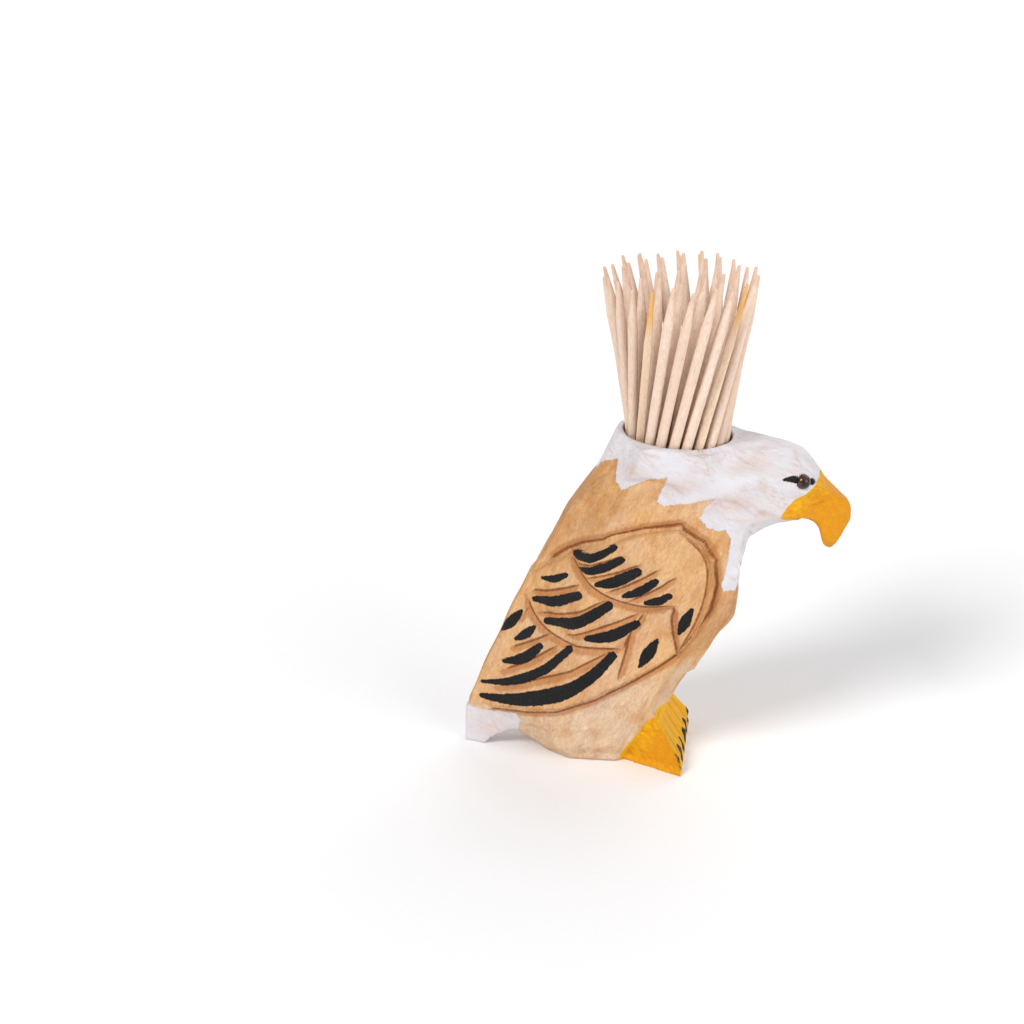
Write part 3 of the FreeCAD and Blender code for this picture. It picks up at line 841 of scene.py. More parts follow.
@dataclass(frozen=True)
class GlassBead:
    """Brown glass bead with a black pupil, drawn by the distance from the bead's axis."""

    name: str = "glass_bead"
    iris: Stops = (
        (0.0, colour(3, 2, 2)), (0.42, colour(4, 3, 3)), (0.50, colour(58, 30, 17)),
        (0.80, colour(92, 52, 31)), (0.93, colour(46, 28, 20)), (1.0, colour(30, 22, 20)))
    ray: Rgba = colour(30, 20, 16)
    rays: Noise = Noise((3.0, 3.0, 0.5), 3.0, 0.6)
    ray_cover: float = 0.35
    roughness: float = 0.12
    coat: float = 0.25
    coat_roughness: float = 0.03
    gloss: float = 0.35

    def material(self) -> bpy.types.Material:
        """Builds the material.

        Returns:
            The material, which reads each vertex's share of the bead's radius.
        """
        material, nodes, shader = new_material(self.name)
        iris = nodes.ramp(nodes.number(Kept.IRIS), self.iris)
        rays = nodes.noise(nodes.place(), self.rays)
        base = nodes.mix(nodes.times(rays, self.ray_cover), iris, self.ray)
        for label, source in (
                ("Base Color", base), ("Roughness", self.roughness),
                ("Coat Weight", self.coat), ("Coat Roughness", self.coat_roughness),
                ("Specular IOR Level", self.gloss)):
            nodes.feed(shader.inputs[label], source)
        return material


@dataclass(frozen=True)
class PaleFloor:
    """Plain matt paper under the object."""

    name: str = "pale_floor"
    dark: Rgba = colour(246, 246, 247)
    light: Rgba = colour(250, 250, 251)
    tooth: Noise = Noise(900.0, 2.0, 0.5)
    roughness: Range = (0.85, 0.95)
    bump: float = 0.00002
    gloss: float = 0.1

    def material(self) -> bpy.types.Material:
        """Builds the material.

        Returns:
            The material, which reads the floor's own coordinates.
        """
        material, nodes, shader = new_material(self.name)
        tooth = nodes.noise(nodes.add("ShaderNodeTexCoord").outputs["Object"], self.tooth)
        base = nodes.mix(tooth, self.dark, self.light)
        rough = nodes.mix_value(tooth, *self.roughness)
        finish_of(nodes, shader, base, rough, tooth, self.bump, self.gloss)
        return material


# ------------------------------------------------------------------ the carving

OUTSIDE = -3.0
UNPAINTED = -1.0


@dataclass(frozen=True)
class Bore:
    """The round hole for the picks, down the Z axis."""

    radius: float = 10.5
    floor: float = 36.0

    def holds(self, points: np.ndarray, margin: float) -> np.ndarray:
        """Finds what lies in the bore.

        Args:
            points: The points, in millimetres.
            margin: How much wider than the bore counts, in millimetres.

        Returns:
            Whether each point lies there.
        """
        across = np.hypot(points[:, 0], points[:, 1])
        return (across < self.radius + margin) & (points[:, 2] > self.floor)


@dataclass(frozen=True)
class Stroke:
    """One brush stroke on a side of the bird, as a line in side view with a width."""

    path: Path
    width: float
    start: float = 0.5
    end: float = 0.78
    half: float = 0.47

    def distance(self, points: np.ndarray) -> np.ndarray:
        """Distance to the stroke's edge. Its half width swells as a sine between its ends.

        Args:
            points: Places in side view, in millimetres.

        Returns:
            The distance of each point, positive inside.
        """
        gap, share, _ = path_distance(points, rounded(self.path))
        ends = self.start + (self.end - self.start) * share
        swell = faded(ends, np.sin(math.pi * np.clip(share, 0, 1)))
        return self.half * self.width * swell - gap


@dataclass(frozen=True)
class Groove:
    """One knife cut on a side of the bird, as a line in side view."""

    path: Path
    depth: float = 0.42
    width: float = 0.7
    ramp: float = 0.0
    ramp_side: float = 1.0
    fades: Range = (0.15, 0.88)
    wedge: float = 1.15
    line_end: float = 0.08
    line_swell: float = 0.14
    ramp_depth: float = 0.75
    band: float = 1.2
    band_gap: float = 0.1
    band_least: float = 0.3
    depth_least: float = 0.35

    def carve(self, points: np.ndarray) -> tuple[np.ndarray, np.ndarray, np.ndarray]:
        """Depth, dark line, and band of stain and painted shade of the cut; with a ramp, one side
        stays low and rises slowly.

        Args:
            points: Places in side view, in millimetres.

        Returns:
            The depth, the distance inside the dark line, and that inside the ramp's band of stain
            and painted shade.
        """
        gap, share, side = path_distance(points, rounded(self.path))
        fade = smooth_step(0.0, self.fades[0], share) * smooth_step(1.0, self.fades[1], share)
        cut = self.depth * np.clip(1 - gap / self.width, 0, 1) ** self.wedge
        line = (self.line_end + self.line_swell * fade) - gap
        band = np.full(len(points), OUTSIDE)
        if self.ramp:
            low = side == self.ramp_side
            cut = np.maximum(cut, self.depth * self.ramp_depth * np.exp(-gap / self.ramp) * low)
            reach = self.band * self.ramp * faded(self.band_least, fade)
            band = np.where(low, reach - gap, -gap - self.band_gap)
        return cut * faded(self.depth_least, fade), line, band


@dataclass(frozen=True)
class WingRim:
    """The cut that runs round each wing just outside its outline, its dark line, and its band of
    stain and painted shade.
    """

    depth: float = 0.75
    width: float = 0.9
    start: float = 0.1
    inner: float = 0.25
    above_tail: Range = (-40.0, -34.0)
    line_place: float = 0.42
    line: float = 0.22
    band_start: float = 0.1
    band: Range = (0.25, 1.4)

    def carve(self, along: np.ndarray, outline: np.ndarray
              ) -> tuple[np.ndarray, np.ndarray, np.ndarray]:
        """Depth and stain of the cut, which dies away from the outline as an exponential.

        Args:
            along: How far forward each point lies, in millimetres.
            outline: Its distance inside the wing's outline.

        Returns:
            The depth, the distance inside the dark line, and that inside the band of stain and
            painted shade.
        """
        beyond = np.clip(-outline - self.start, 0, None)
        cut = self.depth * np.exp(-beyond / self.width) * (outline < self.inner)
        line = self.line - np.abs(outline + self.line_place)
        near, far = self.band
        band = np.minimum(far + outline, -near - outline)
        band = np.where(outline < self.band_start, band, OUTSIDE)
        return cut * smooth_step(*self.above_tail, along), line, band


@dataclass(frozen=True)
class Toes:
    """The toes on the front of the foot block, with cuts between them that fan out."""

    count: int = 6
    ankle: tuple[float, float] = (9.0, 12.6)
    foot_half: float = 12.8
    claw_edge: float = 3.1
    lowest: float = 1.2
    back: float = -4.5
    facing: float = 0.25
    depth: float = 0.75
    floor: Range = (0.0, 0.6)
    line: float = 0.36
    line_rise: Range = (0.05, 0.18)

    def carve(self, points: np.ndarray, normals: np.ndarray) -> tuple[np.ndarray, np.ndarray]:
        """Rounds each toe off as a parabola towards the lines between them.

        Args:
            points: The mesh's points, in millimetres.
            normals: Their normals.

        Returns:
            The depth of the rounding, and 1 on the lines between the toes, falling to 0.
        """
        top = self.ankle[1]
        down = np.clip((top - points[:, 2]) / (top - self.claw_edge), 0, self.lowest)
        half = self.ankle[0] + (self.foot_half - self.ankle[0]) * down
        share = points[:, 1] / half * self.count / 2
        from_line = np.abs(share - np.round(share))
        on_top = ((points[:, 0] > self.back) & (points[:, 2] < top)
                  & (normals[:, 0] > self.facing))
        inner = np.abs(np.round(share)) < self.count / 2 - 0.5
        line = np.exp(-(from_line * half * 2 / self.count / self.line) ** 2) * on_top * inner
        depth = self.depth * down * (1 - 2 * from_line) ** 2 * on_top
        return (depth * smooth_step(*self.floor, points[:, 2]),
                line * smooth_step(*self.line_rise, down))


@dataclass(frozen=True)
class KnifeMarks:
    """The knife's cuts all over the bird: long shallow dishes that meet in sharp ridges."""

    count: int = 620
    depth: float = 0.36
    depths: Range = (0.45, 1.25)
    deepest: float = 1.9
    across: float = 6.5
    along: float = 42.0
    reach: float = 12.0
    reach_fade: float = 0.65
    facing: Range = (0.3, 0.8)
    head: Range = (9.0, 14.0)
    head_height: Range = (46.0, 50.0)
    neck_height: float = 45.0
    neck_forward: float = 8.0
    front_gain: float = 0.5
    belly: Range = (10.0, 20.0)
    belly_slope: float = 0.35
    down: tuple[float, float, float] = (-0.42, 0.0, -0.9)
    forward: tuple[float, float, float] = (0.9, 0.0, -0.35)
    level: tuple[float, float, float] = (-0.95, 0.0, 0.1)
    scatter: float = 0.22

    def ways(self, centres: np.ndarray, draw: np.random.Generator) -> np.ndarray:
        """The way the knife went at each mark: forward on the head, down on the body.

        Args:
            centres: The marks' middles, in millimetres.
            draw: Source of the scatter.

        Returns:
            A way for each mark, not yet laid on the surface.
        """
        on_head = smooth_step(*self.head, centres[:, 0])
        on_head = on_head * smooth_step(*self.head_height, centres[:, 2])
        slope = centres[:, 2] + self.belly_slope * centres[:, 0]
        below = 1 - smooth_step(*self.belly, slope)
        down, forward, level = (np.array(way) for way in (self.down, self.forward, self.level))
        ways = down + on_head[:, None] * (forward - down)
        ways = ways + (below * (1 - on_head))[:, None] * (level - ways)
        return ways + draw.normal(scale=self.scatter, size=ways.shape)

    def carve(self, points: np.ndarray, normals: np.ndarray, seed: int
              ) -> tuple[np.ndarray, np.ndarray]:
        """Depth of the marks.

        A dish is lowest in its middle and rises as a parabola, slowly along the knife's way
        and fast across it. Where dishes overlap, the deeper one counts.

        Args:
            points: The mesh's points, in millimetres.
            normals: Their normals.
            seed: Seed of the marks' places.

        Returns:
            The depth at each point, and the tone of the dish there as -1 to 1.
        """
        draw = np.random.default_rng(seed)
        chosen = draw.choice(len(points), self.count, replace=False)
        centres, outward = points[chosen], normals[chosen]
        ways = self.ways(centres, draw)
        ways -= (ways * outward).sum(1)[:, None] * outward
        ways /= np.linalg.norm(ways, axis=1)[:, None] + TINY
        depths = self.depth * draw.uniform(*self.depths, self.count)
        front = centres[:, 0] + self.neck_forward * (centres[:, 2] < self.neck_height)
        depths *= 1 + self.front_gain * smooth_step(*self.head, front)
        hues = draw.uniform(-1, 1, self.count)
        depth, tone = np.zeros(len(points)), np.zeros(len(points))
        for centre, out, way, deepest, hue in zip(centres, outward, ways, depths, hues):
            near = np.flatnonzero((np.abs(points - centre) < self.reach).all(1))
            offset = points[near] - centre
            along, across = offset @ way, offset @ np.cross(out, way)
            dish = (offset @ out + deepest - across ** 2 / (2 * self.across)
                    - along ** 2 / (2 * self.along))
            distance = np.linalg.norm(offset, axis=1)
            dish *= smooth_step(self.reach, self.reach_fade * self.reach, distance)
            dish *= smooth_step(*self.facing, normals[near] @ out)
            deeper = dish > depth[near]
            tone[near] = np.where(deeper, hue, tone[near])
            depth[near] = np.where(deeper, dish, depth[near])
        return np.clip(depth, 0, self.deepest * self.depth), tone


@dataclass(frozen=True)
class StainingAndShade:
    """How strongly each part is stained, with painted shade on faces turned to the back: from 0
    for pale wood to 1 for the deepest.
    """

    plain: float = 0.41
    belly: float = -0.38
    belly_line: Path = ((-40, 9.0), (-30, 11.0), (-14, 16.5), (0, 23.0), (8, 25.0))
    belly_rise: Range = (-1.5, 2.5)
    belly_outline: Range = (0.2, -0.3)
    # Painted shade: faces turned to the back are darker.
    back: float = 0.32
    back_shade_facing: Range = (0.5, 0.85)
    breast: float = 0.2
    breast_facing: Range = (0.3, 0.75)
    breast_less: float = 0.6
    wing: float = -0.03
    wing_outline: Range = (0.3, 2.0)
    swell: float = 0.07
    swell_length: float = 6.0
    mark: float = 0.15
    mark_outline: Range = (0.5, -0.5)
    mark_less: float = 0.5

    def shares(self, points: np.ndarray, normals: np.ndarray, tones: np.ndarray, seed: int
               ) -> np.ndarray:
        """Adds up what each part of the bird gives to the stain, and the painted shade on faces
        turned to the back.

        Args:
            points: The bird's points before they were carved, in millimetres.
            normals: Its normals there.
            tones: The tone of each knife mark, as -1 to 1.
            seed: Seed of the swell.

        Returns:
            The stain and painted shade at each point.
        """
        outline = area_distance(points[:, [0, 2]], WING_OUTLINE)
        line = np.interp(points[:, 0], *zip(*self.belly_line))
        below = smooth_step(*self.belly_rise, line - points[:, 2])
        below = below * smooth_step(*self.belly_outline, outline)
        # Painted shade on faces turned to the back.
        back = smooth_step(*self.back_shade_facing, -normals[:, 0]) * (1 - below)
        breast = smooth_step(*self.breast_facing, normals[:, 0]) * (1 - self.breast_less * below)
        stain = (self.plain + self.belly * below + self.back * back + self.breast * breast
                 + self.wing * smooth_step(*self.wing_outline, outline))
        stain += self.swell * waves(points, self.swell_length, seed)
        stain += (self.mark * tones * smooth_step(*self.mark_outline, outline)
                  * (1 - self.mark_less * below))
        return np.clip(stain, 0, 1)


WING_OUTLINE: Path = (
    (-41.6, 8.9), (-36.4, 8.8), (-28.9, 10.2), (-21.1, 12.4), (-14.6, 15.2), (-9.0, 18.6),
    (-3.0, 22.6), (1.4, 26.0), (4.9, 30.9), (7.5, 35.5), (8.6, 41.0), (8.2, 45.9), (6.0, 49.6),
    (1.6, 52.9), (-5.4, 51.7), (-11.2, 50.0), (-17.4, 47.0), (-20.8, 44.8), (-25.9, 40.4),
    (-30.0, 36.6))

FEATHER_CUTS: tuple[Groove, ...] = (
    Groove(((-20.2, 45.4), (-18.0, 42.1), (-15.3, 39.6), (-12.2, 37.6), (-7.0, 36.2),
            (-2.7, 35.9), (0.9, 36.6)), 0.7, 0.7, 1.3),
    Groove(((-29.9, 36.4), (-28.9, 32.0), (-26.5, 29.0), (-23.0, 27.2), (-17.8, 26.3),
            (-13.0, 26.2), (-9.0, 26.6)), 0.7, 0.7, 1.3),
    Groove(((-9.0, 26.6), (-7.4, 30.9), (-5.0, 34.6)), 0.6, 0.7, 1.0),
    Groove(((0.7, 36.6), (-0.1, 32.8), (1.2, 26.3)), 0.6, 0.7, 1.0, -1.0),
    Groove(((-7.4, 30.8), (-10.2, 20.0)), 0.5, 0.7, 1.0, -1.0),
    Groove(((1.6, 52.0), (7.0, 47.2), (6.9, 39.6), (4.7, 32.6), (1.6, 27.0)), 0.35, 0.6, 0.8,
           -1.0),
    Groove(((-18.6, 43.8), (-13.8, 44.8), (-9.0, 46.8)), 0.5, 0.7, 0.9),
    Groove(((-16.6, 41.6), (-11.0, 42.8), (-5.8, 45.0)), 0.5, 0.7, 0.9),
    Groove(((-12.4, 38.9), (-6.9, 41.0), (-2.2, 44.3)), 0.5, 0.7, 0.9),
    Groove(((-8.2, 37.2), (-3.3, 39.4), (0.9, 42.7)), 0.5, 0.7, 0.9),
    Groove(((-28.6, 34.8), (-23.1, 36.6), (-18.2, 39.4)), 0.5, 0.7, 1.0),
    Groove(((-26.8, 30.9), (-19.2, 33.3), (-12.6, 36.9)), 0.55, 0.8, 1.1),
    Groove(((-20.6, 28.5), (-13.0, 31.0), (-6.0, 34.6)), 0.55, 0.8, 1.1),
    Groove(((-33.6, 21.6), (-28.6, 24.3), (-24.2, 27.4)), 0.45, 0.7, 0.9),
    Groove(((-37.2, 15.5), (-29.4, 19.7), (-22.4, 25.6)), 0.5, 0.7, 1.0),
    Groove(((-39.0, 12.0), (-24.6, 17.8), (-11.4, 26.0)), 0.55, 0.8, 1.1),
    Groove(((-34.6, 24.8), (-31.6, 27.8), (-28.9, 31.2)), 0.4, 0.6, 0.9),
)

BEAK_CREASES: tuple[Groove, ...] = (
    Groove(((26.4, 55.7), (29.0, 56.2), (31.5, 55.9)), 0.5, 0.9, 0.5),
    Groove(((21.7, 53.5), (24.0, 52.6), (26.6, 52.7)), 0.35, 0.8),
)

WING_STROKES: tuple[Stroke, ...] = (
    Stroke(((-19.1, 45.1), (-15.0, 45.9), (-10.9, 48.5)), 2.0),
    Stroke(((-17.7, 42.9), (-13.4, 43.7), (-9.5, 45.9)), 2.0),
    Stroke(((-14.2, 40.6), (-10.6, 41.1), (-6.5, 43.5)), 2.6),
    Stroke(((-9.0, 38.4), (-5.9, 39.2), (-3.0, 41.6)), 2.1),
    Stroke(((-4.7, 37.1), (-2.3, 37.4), (-0.4, 38.7)), 2.0),
    Stroke(((-26.1, 38.1), (-23.6, 38.5), (-20.8, 40.4)), 1.5, 0.35, 0.6),
    Stroke(((-27.5, 33.4), (-23.0, 34.4), (-18.1, 37.4)), 2.1),
    Stroke(((-24.8, 29.9), (-17.8, 31.7), (-12.0, 35.9)), 2.6),
    Stroke(((-16.2, 28.6), (-11.4, 29.2), (-6.6, 32.2)), 2.6),
    Stroke(((4.2, 36.2), (3.0, 33.8), (1.6, 30.7)), 2.4, 0.3, 0.3),
    Stroke(((-2.5, 28.9), (-4.0, 26.1), (-5.9, 23.0)), 2.6, 0.25, 0.25),
    Stroke(((-34.7, 25.1), (-32.6, 27.1), (-30.3, 30.2)), 2.0, 0.3, 0.4),
    Stroke(((-31.5, 24.2), (-29.6, 25.4), (-27.4, 27.8)), 1.9, 0.4, 0.5),
    Stroke(((-34.1, 18.9), (-29.9, 20.2), (-26.0, 24.4)), 2.3, 0.35, 0.6),
    Stroke(((-38.7, 13.5), (-33.0, 14.7), (-25.5, 18.9), (-19.9, 25.6)), 2.1, 0.3, 0.75),
    Stroke(((-38.7, 10.6), (-32.0, 11.4), (-23.3, 14.6), (-16.0, 19.3), (-11.2, 25.0)), 3.2,
           0.35, 0.6),
)

FACE_STROKES: tuple[Stroke, ...] = (
    Stroke(((20.9, 61.8), (22.2, 61.8), (23.8, 61.2)), 1.2, 0.6, 0.9),
    Stroke(((25.0, 60.9), (25.9, 60.7), (26.6, 60.7)), 1.15, 0.8, 0.8),
    Stroke(((30.0, 45.2), (30.9, 45.7), (31.6, 46.6)), 0.8, 0.6, 0.6),
)

# The lower edge of the white paint, as angle round the bore's axis from the front, towards the
# left wing, and height.
WHITE_EDGE: Path = (
    (-180, 60.0), (-166, 62.6), (-148, 64.6), (-141, 60.4), (-134, 59.5), (-112, 62.0),
    (-94, 63.1), (-105, 57.5), (-97, 56.7), (-72, 57.8), (-56, 59.0), (-64, 56.5), (-66, 54.7),
    (-61, 52.8), (-53, 51.8), (-48, 52.2), (-43, 50.0), (-45, 45.0), (-49, 40.8), (-47, 39.4),
    (-38, 39.3), (-36, 42.1), (-30, 44.0), (-27, 42.1), (-20, 39.5), (-19, 37.5), (-15, 35.9),
    (-5, 33.4), (5, 32.9), (19, 36.6), (20, 41.4), (18, 44.1), (25, 43.1), (33, 41.1),
    (39, 38.8), (44, 37.7), (50, 40.0), (49, 42.4), (52, 44.1), (53, 45.9), (54, 47.4),
    (51, 49.4), (62, 48.9), (71, 50.3), (94, 50.4), (96, 53.7), (86, 59.0), (108, 58.1),
    (116, 61.0), (118, 63.9), (140, 62.5), (166, 59.1), (180, 60.0))

# Where the white paint is thin, in side view: middle, half length and half height.
THIN_PAINT: tuple[tuple[float, float, float, float], ...] = (
    (11.5, 57.6, 5.0, 1.8), (1.0, 61.0, 4.0, 1.2), (-8.0, 63.5, 2.5, 1.5), (14.0, 64.5, 3.0, 1.0),
    (-36.5, 4.5, 4.5, 3.0), (17.5, 55.0, 2.0, 1.4), (8.0, 47.5, 1.6, 2.6))

BEAK_PAINT: Path = (
    (28.6, 62.5), (27.8, 60.6), (26.3, 59.7), (24.8, 58.4), (23.1, 57.4), (21.5, 55.9),
    (20.4, 54.5), (20.5, 53.1), (21.6, 52.3), (24.0, 50.5), (27.0, 42.0), (38.0, 42.0),
    (38.0, 62.5))

FOOT_PAINT: Path = (
    (-11.5, -2.0), (-9.9, 0.8), (-6.4, 6.9), (-3.2, 11.0), (-0.8, 12.3), (8.0, 12.3),
    (8.0, -2.0))

TAIL_PAINT: Path = (
    (-50.0, 8.1), (-41.6, 7.9), (-36.4, 7.8), (-31.0, 8.7), (-30.2, 7.0), (-31.3, 3.0),
    (-32.5, -2.0), (-50.0, -2.0))

# Each claw as across and height of its top and its foot on the front of the toes, and a width.
CLAWS: tuple[tuple[float, float, float, float, float], ...] = (
    (-11.0, 3.7, -10.6, 1.4, 2.7), (-6.8, 3.5, -6.3, 1.2, 2.6), (-2.5, 3.2, -2.1, 1.1, 2.5),
    (1.9, 3.0, 2.2, 1.0, 2.4), (6.3, 3.1, 6.7, 1.0, 2.3), (10.7, 3.3, 11.1, 1.1, 2.2))


@dataclass(frozen=True)
class PaintPlan:
    """Where the bird's stain, paints, grain, and painted light and shade go."""

    bore: Bore = Bore()
    staining_and_shade: StainingAndShade = StainingAndShade()
    angle_scale: float = 0.235
    white_top: float = 120.0
    white_margin: float = 0.12
    wing_gap: float = 0.2
    wing_gain: float = 1.5
    flank: float = 4.0
    flank_front: float = 15.0
    spine: float = 0.8
    facing: float = 0.15
    beak_tip: float = 28.5
    claw_ends: float = 0.85
    claw_facing: float = 0.3
    claw_back: float = -0.6
    claw_top: float = 7.0
    claw_gain: float = 2.5
    # Where the painted light on the toes' tops goes.
    toe_light_facing: Range = (0.2, 0.5)
    toe_top: float = 14.0
    thin_marks: float = 0.18
    # Where the painted shade in the bore starts and how it deepens.
    bore_shade_margin: float = 0.4
    hollow: Range = (68.5, 60.0)
    grain_lean: float = 24.0

    def lay(self, points: np.ndarray, normals: np.ndarray, tones: np.ndarray, seed: int
            ) -> dict[Kept, np.ndarray]:
        """Works out what the finish reads, apart from the stain and painted shade in and beside
        the cuts.

        Args:
            points: The bird's points before they were carved, in millimetres.
            normals: Its normals there.
            tones: The tone of each knife mark, as -1 to 1.
            seed: Seed of the stain's swell.

        Returns:
            The values at each point.
        """
        side = points[:, [0, 2]]
        thin = [np.exp(-((side - (x, z)) ** 2 / (2 * length ** 2, 2 * height ** 2)).sum(1))
                for x, z, length, height in THIN_PAINT]
        in_bore = self.bore.holds(points, self.bore_shade_margin)
        lean = math.radians(self.grain_lean)
        across = points @ (math.cos(lean), 0, -math.sin(lean))
        along = points @ (math.sin(lean), 0, math.cos(lean))
        return {
            Kept.WHITE: self.white_distance(points),
            Kept.YELLOW: np.maximum(area_distance(side, BEAK_PAINT),
                                    area_distance(side, FOOT_PAINT)),
            # Painted light on the toes' tops that face forward.
            Kept.TOE_LIGHT: (smooth_step(*self.toe_light_facing, normals[:, 0])
                           * (points[:, 2] < self.toe_top)),
            Kept.BLACK: self.black_distance(points, normals),
            Kept.STAIN_AND_SHADE: self.staining_and_shade.shares(points, normals, tones, seed),
            Kept.THIN: np.max(thin, axis=0) + self.thin_marks * tones,
            # Painted shade in the bore, darker towards its bottom.
            Kept.BORE_SHADE: in_bore * smooth_step(*self.hollow, points[:, 2]),
            Kept.PLACE: np.stack([across, points[:, 1], along], 1)}

    def white_distance(self, points: np.ndarray) -> np.ndarray:
        """Distance above the white paint's lower edge, unrolled round the bore's axis.

        Args:
            points: The points, in millimetres.

        Returns:
            The distance inside the paint of the head or of the tail, and -1 in the bore.
        """
        angle = np.degrees(np.arctan2(points[:, 1], points[:, 0]))
        unrolled = np.stack([angle * self.angle_scale, points[:, 2]], 1)
        edge = np.asarray(WHITE_EDGE) * (self.angle_scale, 1)
        turn = 360 * self.angle_scale
        edge = np.concatenate([edge[:-1] - (turn, 0), edge, edge[1:] + (turn, 0)])
        ends = [(edge[-1, 0], self.white_top), (edge[0, 0], self.white_top)]
        head = area_distance(unrolled, [tuple(corner) for corner in edge] + ends)
        white = np.maximum(head, area_distance(points[:, [0, 2]], TAIL_PAINT))
        return np.where(self.bore.holds(points, self.white_margin), UNPAINTED, white)

    def black_distance(self, points: np.ndarray, normals: np.ndarray) -> np.ndarray:
        """Distance inside the nearest black stroke of the wings, the face or the claws.

        Args:
            points: The points, in millimetres.
            normals: Their normals.

        Returns:
            The distance of each point, positive inside.
        """
        side, across = points[:, [0, 2]], np.abs(points[:, 1])
        strokes = np.max([stroke.distance(side) for stroke in WING_STROKES], axis=0)
        inside = area_distance(side, WING_OUTLINE) - self.wing_gap
        strokes = np.minimum(strokes, self.wing_gain * inside)
        strokes = np.max([strokes, *[stroke.distance(side) for stroke in FACE_STROKES]], axis=0)
        on_flank = (across > self.flank) & (points[:, 0] < self.flank_front)
        sideways = (across > self.spine) & (on_flank | (np.abs(normals[:, 1]) > self.facing))
        sideways |= points[:, 0] > self.beak_tip
        strokes = np.where(sideways, strokes, UNPAINTED)
        ends = (self.claw_ends, self.claw_ends)
        claws = np.max([Stroke(((a, b), (c, d)), width, *ends).distance(points[:, [1, 2]])
                        for a, b, c, d, width in CLAWS], axis=0)
        claws = np.where(normals[:, 0] > self.claw_facing, claws, UNPAINTED)
        on_toes = (points[:, 0] > self.claw_back) & (points[:, 2] < self.claw_top)
        return np.where(on_toes, self.claw_gain * claws, strokes)


